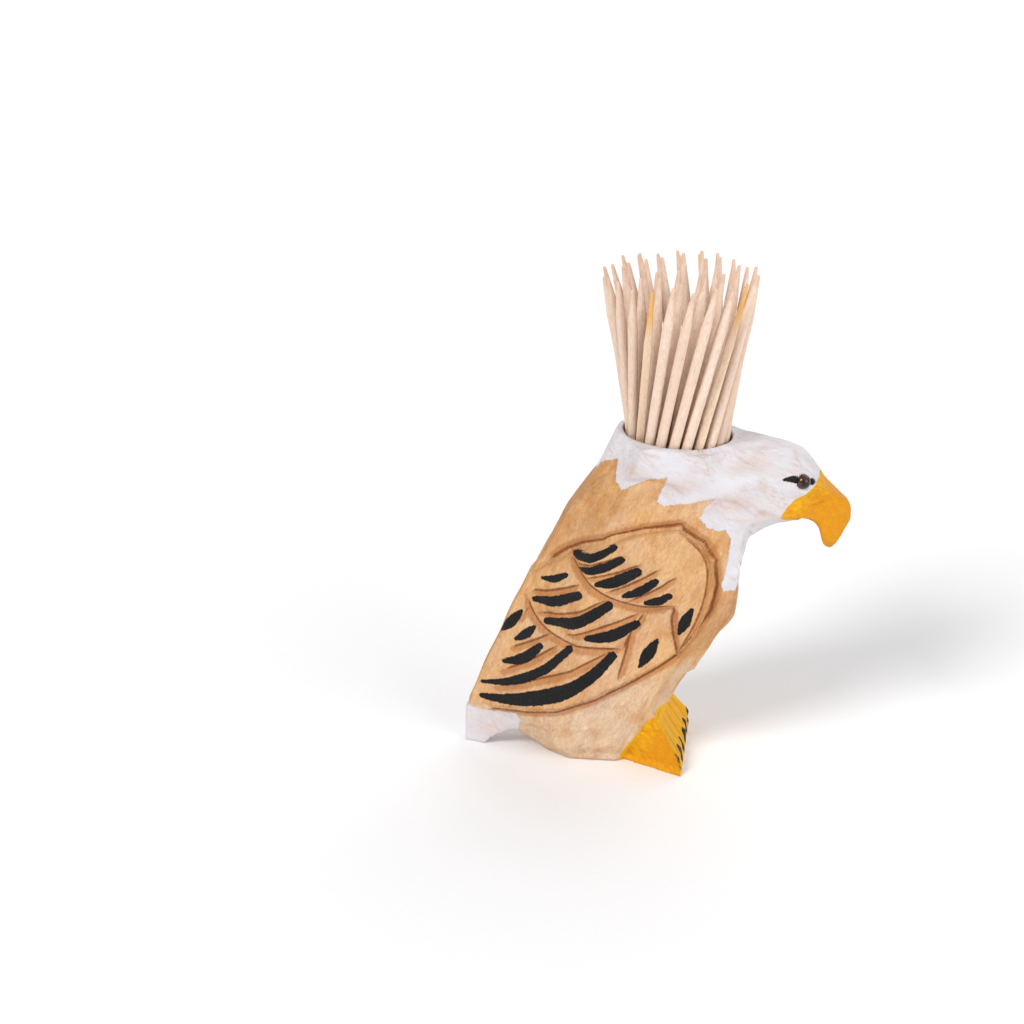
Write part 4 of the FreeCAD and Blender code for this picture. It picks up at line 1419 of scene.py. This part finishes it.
@dataclass
class CarvedEagle:
    """The wooden bird: the block from the frame, carved finer, stained and painted."""

    node: str = "carved_body"
    name: str = "carved_eagle"
    seed: int = 7
    voxel: float = 0.38
    merge: float = 1e-6
    bore: Bore = Bore()
    bore_margin: float = 0.5
    bottom: Range = (0.3, 1.5)
    eyes: tuple[str, str] = ("eye_left", "eye_right")
    bead_depth: float = 2.2
    rounds: int = 11
    round_step: float = 0.6
    round_outline: Range = (0.6, 2.0)
    round_least: float = 0.25
    round_beak: Range = (26.5, 28.0)
    round_beak_less: float = 0.2
    round_eye: Range = (1.6, 3.2)
    marks: KnifeMarks = KnifeMarks()
    toes: Toes = Toes()
    rim: WingRim = WingRim()
    cut_rise: Range = (-0.2, 0.5)
    cut_facing: Range = (0.25, 0.6)
    cut_side: Range = (2.0, 4.0)
    turned_away: float = 2.0
    toe_line_gain: float = 0.5
    toe_line_start: float = 0.6
    swell: float = 0.12
    swell_length: float = 9.0
    lid: float = 0.45
    lid_gap: float = 1.9
    lid_width: float = 0.75
    calm_wing: float = 0.72
    calm_outline: Range = (-0.5, 1.0)
    calm_spine: float = 0.8
    spine: Range = (6.0, 3.0)
    calm_beak: float = 0.8
    beak: Range = (27.0, 29.5)
    calm_eye: Range = (2.0, 4.0)
    calm_cut: float = 0.4
    paint: PaintPlan = PaintPlan()
    piece: bpy.types.Object | None = field(default=None, init=False)

    def build(self) -> None:
        """Makes the bird's fine mesh and keeps on it what the finish reads."""
        mesh = self.fine_mesh()
        edges = read_rows(mesh.edges, "vertices", 2, np.int32)
        points = self.softened(read_points(mesh), edges)
        write_points(mesh, points)
        normals = read_rows(mesh.vertex_normals, "vector", 3).astype(float)
        cuts, cut_stain_and_shade = self.cuts(points, normals)
        marks, tones = self.marks.carve(points, normals, self.seed)
        depth = cuts + marks * self.open_face(points, normals, cuts)
        swell = self.swell * waves(points, self.swell_length, self.seed)
        depth -= swell * self.free_face(points)
        lid = np.exp(-((self.eye_gap(points) - self.lid_gap) / self.lid_width) ** 2)
        depth -= self.lid * lid
        low, high = (np.array(corner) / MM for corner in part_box(self.node))
        write_points(mesh, np.clip(points - normals * depth[:, None], low, high))
        paints = self.paint.lay(points, normals, tones, self.seed + 1)
        for kept, values in (paints | cut_stain_and_shade).items():
            store(mesh, kept, values)
        shade_smooth(mesh)
        self.piece = new_piece(self.name, mesh)
        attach(self.piece, "holder")
        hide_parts(self.node)

    def fine_mesh(self) -> bpy.types.Mesh:
        """Merges a copy of the block's mesh and divides it into small even faces.

        Returns:
            The new mesh.
        """
        copy = frame["nodes"][self.node].data.copy()
        work = bmesh.new()
        work.from_mesh(copy)
        bmesh.ops.remove_doubles(work, verts=work.verts, dist=self.merge)
        work.to_mesh(copy)
        work.free()
        holder = new_piece("block_copy", copy)
        remesh = holder.modifiers.new("even_faces", "REMESH")
        remesh.mode = "VOXEL"
        remesh.voxel_size = self.voxel * MM
        bpy.context.view_layer.update()
        shape = holder.evaluated_get(bpy.context.evaluated_depsgraph_get())
        mesh = bpy.data.meshes.new_from_object(shape)
        bpy.data.objects.remove(holder)
        bpy.data.meshes.remove(copy)
        for layer in list(mesh.attributes):
            if not (layer.is_required or layer.is_internal):
                mesh.attributes.remove(layer)
        mesh.materials.clear()
        mesh.name = self.name
        return mesh

    def free_face(self, points: np.ndarray) -> np.ndarray:
        """1 on faces that a knife may leave uneven, 0 in the bore and on the flat bottom."""
        in_bore = self.bore.holds(points, self.bore_margin)
        return np.where(in_bore, 0.0, smooth_step(*self.bottom, points[:, 2]))

    def eye_gap(self, points: np.ndarray) -> np.ndarray:
        """Distance of each point from the middle of the nearer bead.

        Args:
            points: The points, in millimetres.

        Returns:
            The distances, in millimetres.
        """
        gaps = []
        for eye in self.eyes:
            bead = read_points(frame["nodes"][eye].data)
            out = np.abs(bead[:, 1])
            middle = bead[out > out.max() - self.bead_depth].mean(0)
            gaps.append(np.linalg.norm(points - middle, axis=1))
        return np.min(gaps, axis=0)

    def softened(self, points: np.ndarray, edges: np.ndarray) -> np.ndarray:
        """Rounds the block's edges by moving each point towards the mean of its neighbours.

        Args:
            points: The mesh's points, in millimetres.
            edges: The numbers of the two points of each edge.

        Returns:
            The moved points.
        """
        outline = np.abs(area_distance(points[:, [0, 2]], WING_OUTLINE))
        weight = faded(self.round_least, smooth_step(*self.round_outline, outline))
        weight *= 1 - self.round_beak_less * smooth_step(*self.round_beak, points[:, 0])
        weight *= smooth_step(*self.round_eye, self.eye_gap(points))
        weight *= self.free_face(points)
        count = np.bincount(edges.ravel(), minlength=len(points))[:, None]
        for _ in range(self.rounds):
            total = np.zeros_like(points)
            for axis in range(3):
                total[:, axis] = (
                    np.bincount(edges[:, 0], points[edges[:, 1], axis], len(points))
                    + np.bincount(edges[:, 1], points[edges[:, 0], axis], len(points)))
            points = points + (total / count - points) * (self.round_step * weight)[:, None]
        return points

    def cuts(self, points: np.ndarray, normals: np.ndarray
             ) -> tuple[np.ndarray, dict[Kept, np.ndarray]]:
        """The feather cuts, the cut round each wing, the beak's crease and the toes.

        Args:
            points: The mesh's points, in millimetres.
            normals: Their normals.

        Returns:
            The depth in millimetres, and the distance inside the dark lines and inside the band
            of stain and painted shade.
        """
        side = points[:, [0, 2]]
        outline = area_distance(side, WING_OUTLINE)
        on_wing = outline > 0
        depth = np.zeros(len(points))
        line, band = np.full(len(points), OUTSIDE), np.full(len(points), OUTSIDE)
        for groove in FEATHER_CUTS:
            cut, dark, ramp = groove.carve(side)
            depth = np.maximum(depth, cut * smooth_step(*self.cut_rise, outline))
            line = np.where(on_wing, np.maximum(line, dark), line)
            band = np.where(on_wing, np.maximum(band, ramp), band)
        cut, dark, ramp = self.rim.carve(side[:, 0], outline)
        depth, line, band = np.maximum(depth, cut), np.maximum(line, dark), np.maximum(band, ramp)
        for groove in BEAK_CREASES:
            cut, dark, _ = groove.carve(side)
            depth, line = np.maximum(depth, cut), np.maximum(line, dark)
        sideways = smooth_step(*self.cut_facing, np.abs(normals[:, 1]))
        sideways *= smooth_step(*self.cut_side, np.abs(points[:, 1]))
        rounding, toes = self.toes.carve(points, normals)
        depth = np.maximum(depth * sideways * self.free_face(points), rounding)
        lost = self.turned_away * (1 - sideways)
        line = np.maximum(line - lost, self.toe_line_gain * (toes - self.toe_line_start))
        return depth, {Kept.LINE: line, Kept.BAND: band - lost}

    def open_face(self, points: np.ndarray, normals: np.ndarray, cuts: np.ndarray
                  ) -> np.ndarray:
        """Where the knife's marks show: less on wings, spine and beak, and none in cuts.

        Args:
            points: The mesh's points, in millimetres.
            normals: Their normals.
            cuts: The depth of the cuts, in millimetres.

        Returns:
            The share of the marks' depth, from 0 to 1.
        """
        on_wing = smooth_step(*self.calm_outline, area_distance(points[:, [0, 2]], WING_OUTLINE))
        spine = smooth_step(*self.spine, np.abs(points[:, 1])) * (normals[:, 0] < 0)
        beak = smooth_step(*self.beak, points[:, 0])
        calm = ((1 - self.calm_wing * on_wing) * (1 - self.calm_spine * spine)
                * (1 - self.calm_beak * beak))
        calm *= smooth_step(*self.calm_eye, self.eye_gap(points))
        return self.free_face(points) * calm * (1 - np.clip(cuts / self.calm_cut, 0, 1))

    def dress(self, finish: PaintedCarving) -> None:
        """Gives the bird its finish."""
        self.piece.data.materials.append(finish.material())


# ------------------------------------------------------------------ eyes


@dataclass
class BeadEye:
    """One glass eye, a dome on a flat back, over the frame's bead."""

    node: str
    side: float
    around: int = 40
    rows: int = 16
    back: float = 0.42
    pole: float = 0.02
    flat: float = 0.1
    ray_places: float = 4.0
    piece: bpy.types.Object | None = field(default=None, init=False)

    def build(self) -> None:
        """Turns the bead's profile, an arc of a circle, about the axis of the frame's bead."""
        points = read_points(frame["nodes"][self.node].data)
        centre = points.mean(0)
        spread = np.linalg.svd(points - centre, full_matrices=False)[2]
        axis = spread[0] * np.sign(spread[0][1] * self.side)
        along = (points - centre) @ axis
        across = np.linalg.norm(points - centre - np.outer(along, axis), axis=1)
        reach, radius = along.max(), across.max()
        middle = centre + axis * (reach - radius)
        lift = np.linspace(-self.back * math.pi / 2, math.pi / 2, self.rows)
        profile = np.stack([radius * np.cos(lift), radius * np.sin(lift)], 1)[:-1]
        profile = np.concatenate([profile, [[self.pole * radius, radius]]])
        turn = np.linspace(0, 2 * math.pi, self.around, endpoint=False)
        right = np.cross((0.0, 0.0, 1.0), axis)
        right /= np.linalg.norm(right)
        top = np.cross(axis, right)
        circle = np.cos(turn)[:, None] * right + np.sin(turn)[:, None] * top
        rings = middle + profile[:, None, :1] * circle + profile[:, None, 1:] * axis
        mesh = tube_mesh(self.node + "_bead", rings)
        placed = read_points(mesh) - middle
        height = placed @ axis
        share = np.linalg.norm(placed - np.outer(height, axis), axis=1) / radius
        store(mesh, Kept.IRIS, np.where(height < -self.flat, 1.0, share))
        store(mesh, Kept.PLACE, placed * self.ray_places)
        self.piece = new_piece(self.node + "_bead", mesh)
        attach(self.piece, "holder")
        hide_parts(self.node)

    def dress(self, material: bpy.types.Material) -> None:
        """Gives the bead its glass."""
        self.piece.data.materials.append(material)


# ------------------------------------------------------------------ picks


class Stick(Enum):
    """The kinds of stick: the word in a node's name, the slot, and the length of dark tip."""

    PLAIN = ("toothpick", "pick_wood", 2.6)
    KNOTTED = ("knotted", "green_bamboo", 9.0)
    SLIVER = ("sliver", "bamboo", 10.0)

    def __init__(self, word: str, slot: str, tip: float) -> None:
        """Names the three parts."""
        self.word, self.slot, self.tip = word, slot, tip


STICK_FINISHES: dict[Stick, BareStick] = {
    Stick.PLAIN: BareStick("pick_wood", colour(252, 234, 218), colour(228, 197, 174),
                           colour(222, 184, 154)),
    Stick.SLIVER: BareStick("bamboo", colour(252, 231, 206), colour(227, 193, 161),
                            colour(232, 176, 88), tip_cover=0.85),
    Stick.KNOTTED: BareStick("green_bamboo", colour(198, 184, 150), colour(154, 141, 109),
                             colour(224, 188, 124), rough=0.5, tip_cover=0.9),
}


@dataclass(frozen=True)
class RoundShape:
    """A turned stick with a point at each end, or with a knotted head at its upper one."""

    point: float = 0.28
    taper: float = 8.0
    taper_start: float = 0.6
    taper_rings: int = 9
    shaft_gap: float = 3.0
    shaft_rings: int = 12
    nose: tuple[float, float, float] = (0.0, 0.06, 0.2)
    nose_scale: float = 0.9
    nose_shares: tuple[tuple[float, float], ...] = ((0.05, 0.62), (0.12, 0.9))
    bulge: Range = (0.82, 0.95)
    girth: float = 0.972
    wobble: float = 0.012
    wobble_turn: float = 0.4
    head: float = 16.0
    head_rings: int = 10
    knots: tuple[float, float] = (9.2, 4.0)
    collar: Path = ((-2.1, 0.96), (-1.6, 0.9), (-0.992, 0.68), (-0.64, 0.66), (-0.2, 0.93),
                    (0.3, 0.98))
    blunt_end: Path = ((2.0, 0.97), (0.35, 0.95), (0.08, 0.86), (0.0, 0.7))

    def profile(self, length: float, knotted: bool, draw: np.random.Generator
                ) -> tuple[np.ndarray, np.ndarray]:
        """Places along the stick and the share of its radius there.

        Each end narrows as a power of the distance from it, and the shaft swells as a sine.

        Args:
            length: The stick's length, in millimetres.
            knotted: Whether it has a knotted head.
            draw: Source of its unevenness.

        Returns:
            The places from the lower end, and the radius as a share of the full one.
        """
        nose = np.array(self.nose) * self.nose_scale
        rise = np.linspace(self.taper_start, self.taper, self.taper_rings)
        shaft = self.taper + self.shaft_gap
        if knotted:
            head = self.knotted_head(length)
            along = np.array([*nose, *rise, *np.linspace(shaft, length - self.head,
                                                         self.head_rings), *head[:, 0]])
            ends = along
        else:
            middle = np.linspace(shaft, length - shaft, self.shaft_rings)
            along = np.array([*nose, *rise, *middle, *(length - rise[::-1]),
                              *(length - nose[::-1])])
            ends = np.minimum(along, length - along)
        bulge = draw.uniform(*self.bulge)
        share = faded(self.point, np.clip(ends / self.taper, 0, 1) ** bulge)
        (tip, tip_share), (near, near_share) = self.nose_shares
        share *= np.where(ends < tip, tip_share, np.where(ends < near, near_share, 1.0))
        wobble = np.sin(along * self.wobble_turn + draw.uniform(*PHASES))
        share = share * (self.girth + self.wobble * wobble)
        if knotted:
            share[-len(head):] = head[:, 1]
        return along, share

    def knotted_head(self, length: float) -> np.ndarray:
        """The head's collars, necks and blunt end.

        Args:
            length: The stick's length, in millimetres.

        Returns:
            Places from the lower end and shares of the radius, as an (n, 2) array.
        """
        collars = [(length - knot + place, share) for knot in self.knots
                   for place, share in self.collar]
        return np.array(collars + [(length - place, share) for place, share in self.blunt_end])


@dataclass(frozen=True)
class FlatShape:
    """A split strip, thinner and narrower towards its ends."""

    rings: int = 36
    inset: float = 0.8
    ends: Range = (0.1, 0.12)
    taper: float = 12.0
    end_shares: tuple[float, float] = (0.30, 0.56)
    middle_adds: tuple[float, float] = (0.68, 0.42)
    girth: float = 0.975
    wobble: float = 0.02
    wobble_turn: float = 0.6
    end_share: float = 0.82
    corner: float = 0.45

    def profile(self, length: float, draw: np.random.Generator
                ) -> tuple[np.ndarray, np.ndarray]:
        """Places along the strip and the shares of its width and thickness there.

        Both grow in a straight line from each end and swell as a sine.

        Args:
            length: The strip's length, in millimetres.
            draw: Source of its unevenness.

        Returns:
            The places from the lower end, and the shares as an (n, 2) array.
        """
        middle = np.linspace(self.inset, length - self.inset, self.rings)
        along = np.array([0.0, self.ends[0], *middle, length - self.ends[1], length])
        full = np.clip(np.minimum(along, length - along) / self.taper, 0, 1)
        shares = np.array(self.end_shares) + np.outer(full, self.middle_adds)
        wobble = np.sin(along * self.wobble_turn + draw.uniform(*PHASES))
        shares *= (self.girth + self.wobble * wobble)[:, None]
        shares[[0, -1]] *= self.end_share
        return along, shares


@dataclass
class Pick:
    """One loose stick, rebuilt along the axis of the frame's stick with its own unevenness."""

    node: str
    axis: np.ndarray
    number: int
    around: int = 18
    round_shape: RoundShape = RoundShape()
    flat_shape: FlatShape = FlatShape()
    flute: float = 0.035
    flutes: int = 3
    sway: float = 0.05
    grain_spread: float = 400.0
    tone: tuple[float, float] = (1.6, 2.2)
    tip_fade: float = 0.5
    first_seed: int = 100
    piece: bpy.types.Object | None = field(default=None, init=False)

    @property
    def kind(self) -> Stick:
        """Which kind of stick the node's name says it is."""
        return next(kind for kind in Stick if kind.word in self.node)

    def build(self) -> None:
        """Measures the frame's stick and lays a finer skin over it.

        A ring is an ellipse, or nearly a rectangle on a flat strip, with shallow flutes. Its
        middle leaves the axis as half a sine wave.
        """
        points = read_points(frame["nodes"][self.node].data)
        low, high = (points @ self.axis).min(), (points @ self.axis).max()
        middle = points.mean(0)
        middle = middle - self.axis * (middle @ self.axis)
        offset = points - middle - np.outer(points @ self.axis, self.axis)
        draw = np.random.default_rng(self.first_seed + self.number)
        length = high - low
        if self.kind is Stick.SLIVER:
            right = np.linalg.svd(offset, full_matrices=False)[2][0]
            front = np.cross(self.axis, right)
            widths = [np.abs(offset @ way).max() for way in (right, front)]
            exponent = self.flat_shape.corner
            along, shares = self.flat_shape.profile(length, draw)
        else:
            right = np.cross(self.axis, (0.0, 1.0, 0.0))
            right /= np.linalg.norm(right)
            front = np.cross(self.axis, right)
            widths = [np.linalg.norm(offset, axis=1).max()] * 2
            exponent = 1.0
            knotted = self.kind is Stick.KNOTTED
            along, share = self.round_shape.profile(length, knotted, draw)
            shares = np.stack([share, share], 1)
        turn = np.linspace(0, 2 * math.pi, self.around, endpoint=False)
        corner = np.stack([np.cos(turn), np.sin(turn)], 1)
        corner = np.sign(corner) * np.abs(corner) ** exponent
        flutes = 1 - self.flute * np.abs(np.sin(turn * self.flutes + draw.uniform(*PHASES)))
        sway = draw.uniform(-self.sway, self.sway, 2)
        bow = np.sin(math.pi * along / length)[:, None] * sway
        across = shares[:, None] * corner * flutes[:, None] * widths + bow[:, None, :]
        rings = (middle + self.axis * (low + along)[:, None, None]
                 + across[..., :1] * right + across[..., 1:] * front)
        mesh = tube_mesh(self.node + "_stick", rings)
        placed = read_points(mesh) - middle
        local = np.stack([placed @ right, placed @ front, placed @ self.axis], 1)
        spread = draw.uniform(-self.grain_spread, self.grain_spread, 3)
        store(mesh, Kept.PLACE, local + spread)
        store(mesh, Kept.TONE, np.full(len(placed), draw.beta(*self.tone)))
        tip = self.kind.tip
        store(mesh, Kept.TIP, smooth_step(tip, self.tip_fade * tip, high - local[:, 2]))
        self.piece = new_piece(self.node + "_stick", mesh)
        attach(self.piece, self.node)
        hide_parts(self.node)

    def dress(self, materials: dict[Stick, bpy.types.Material]) -> None:
        """Gives the stick the finish of its kind."""
        self.piece.data.materials.append(materials[self.kind])


# ------------------------------------------------------------------ studio


@dataclass(frozen=True)
class Lamp:
    """One soft lamp: where it stands, how wide its light is in degrees, and its power."""

    name: str
    place: tuple[float, float, float]
    spread: float
    power: float


@dataclass
class Studio:
    """Floor, soft lights and the camera."""

    target: tuple[float, float, float] = (0.0, 0.0, 0.045)
    azimuth: float = 3.54
    elevation: float = 21.76
    roll: float = 1.15
    distance: float = 0.4349
    focal_pixels: float = 2207.0
    pixel: tuple[float, float] = (675.6, 542.3)
    image: float = 1024.0
    sensor: float = 36.0
    clip: Range = (0.01, 20.0)
    floor_half: float = 4.0
    floor_rows: int = 9
    floor_drop: float = 0.00002
    surround: float = 0.44
    lamps: tuple[Lamp, ...] = (
        Lamp("key", (-0.55, -0.75, 0.85), 20.0, 1.75),
        Lamp("fill", (0.95, -0.60, 0.35), 50.0, 1.4),
        Lamp("far", (0.30, 0.80, 0.70), 60.0, 0.95))

    def build(self) -> None:
        """Makes the floor, the lights, the surroundings and the camera."""
        self.floor()
        self.lights()
        self.camera()

    def floor(self) -> None:
        """A wide floor sheet under the object."""
        rows = self.floor_rows
        reach = np.linspace(-1.0, 1.0, rows) * self.floor_half
        x, y = np.meshgrid(reach, reach, indexing="ij")
        corners = np.stack([x, y, np.full_like(x, -self.floor_drop)], -1).reshape(-1, 3)
        index = np.arange(rows ** 2).reshape(rows, rows)
        faces = np.stack([index[:-1, :-1], index[1:, :-1], index[1:, 1:], index[:-1, 1:]], -1)
        mesh = bpy.data.meshes.new("floor")
        mesh.from_pydata(corners.tolist(), [], faces.reshape(-1, 4).tolist())
        mesh.update()
        sheet = new_piece("floor", mesh)
        mesh.materials.append(PaleFloor().material())

    def lights(self) -> None:
        """Wide soft lamps far from the object and an even pale surround."""
        world = bpy.data.worlds.new("surround")
        bpy.context.scene.world = world
        world.use_nodes = True
        background = world.node_tree.nodes["Background"]
        background.inputs["Color"].default_value = (1.0, 1.0, 1.0, 1.0)
        background.inputs["Strength"].default_value = self.surround
        for lamp in self.lamps:
            light = bpy.data.lights.new(lamp.name, "SUN")
            light.angle = math.radians(lamp.spread)
            light.energy = lamp.power
            holder = new_piece(lamp.name, light)
            holder.location = lamp.place
            aim = Vector(self.target) - Vector(lamp.place)
            holder.rotation_euler = aim.to_track_quat("-Z", "Y").to_euler()

    def camera(self) -> None:
        """The camera, turned so that the target lies at its pixel of the image."""
        azimuth, elevation = math.radians(self.azimuth), math.radians(self.elevation)
        back = Vector((math.sin(azimuth) * math.cos(elevation),
                       -math.cos(azimuth) * math.cos(elevation), math.sin(elevation)))
        right = Vector((math.cos(azimuth), math.sin(azimuth), 0))
        upright = back.cross(right)
        roll = math.radians(self.roll)
        tilted = right * math.cos(roll) + upright * math.sin(roll)
        upright = upright * math.cos(roll) - right * math.sin(roll)
        looking = Matrix((tilted, upright, back)).transposed()
        half = self.image / 2
        sight = Vector(((self.pixel[0] - half) / self.focal_pixels,
                        (half - self.pixel[1]) / self.focal_pixels, -1.0))
        swing = sight.rotation_difference(Vector((0, 0, -1))).to_matrix()
        lens = bpy.data.cameras.new("camera")
        lens.sensor_width = self.sensor
        lens.lens = self.focal_pixels / self.image * self.sensor
        lens.clip_start, lens.clip_end = self.clip
        holder = new_piece("camera", lens)
        place = Matrix.Translation(Vector(self.target) + back * self.distance)
        holder.matrix_world = place @ (looking @ swing).to_4x4()
        bpy.context.scene.camera = holder


def main() -> None:
    """Builds and dresses the dispenser, then the studio."""
    logging.basicConfig(level=logging.INFO, format="%(name)s: %(message)s")
    bpy.context.scene.view_settings.view_transform = "Standard"
    eagle = CarvedEagle()
    eagle.build()
    eagle.dress(PaintedCarving())
    LOG.info("%s: %d points", eagle.piece.name, len(eagle.piece.data.vertices))
    glass = GlassBead().material()
    for node, side in (("eye_left", 1.0), ("eye_right", -1.0)):
        eye = BeadEye(node, side)
        eye.build()
        eye.dress(glass)
        LOG.info("%s built", eye.piece.name)
    finishes = {kind: finish.material() for kind, finish in STICK_FINISHES.items()}
    for number, joint in enumerate(frame["joints"]):
        pick = Pick(joint["child"], np.array(joint["axis"]), number)
        pick.build()
        pick.dress(finishes)
        LOG.info("%s built", pick.piece.name)
    Studio().build()


if __name__ == "__main__":
    main()
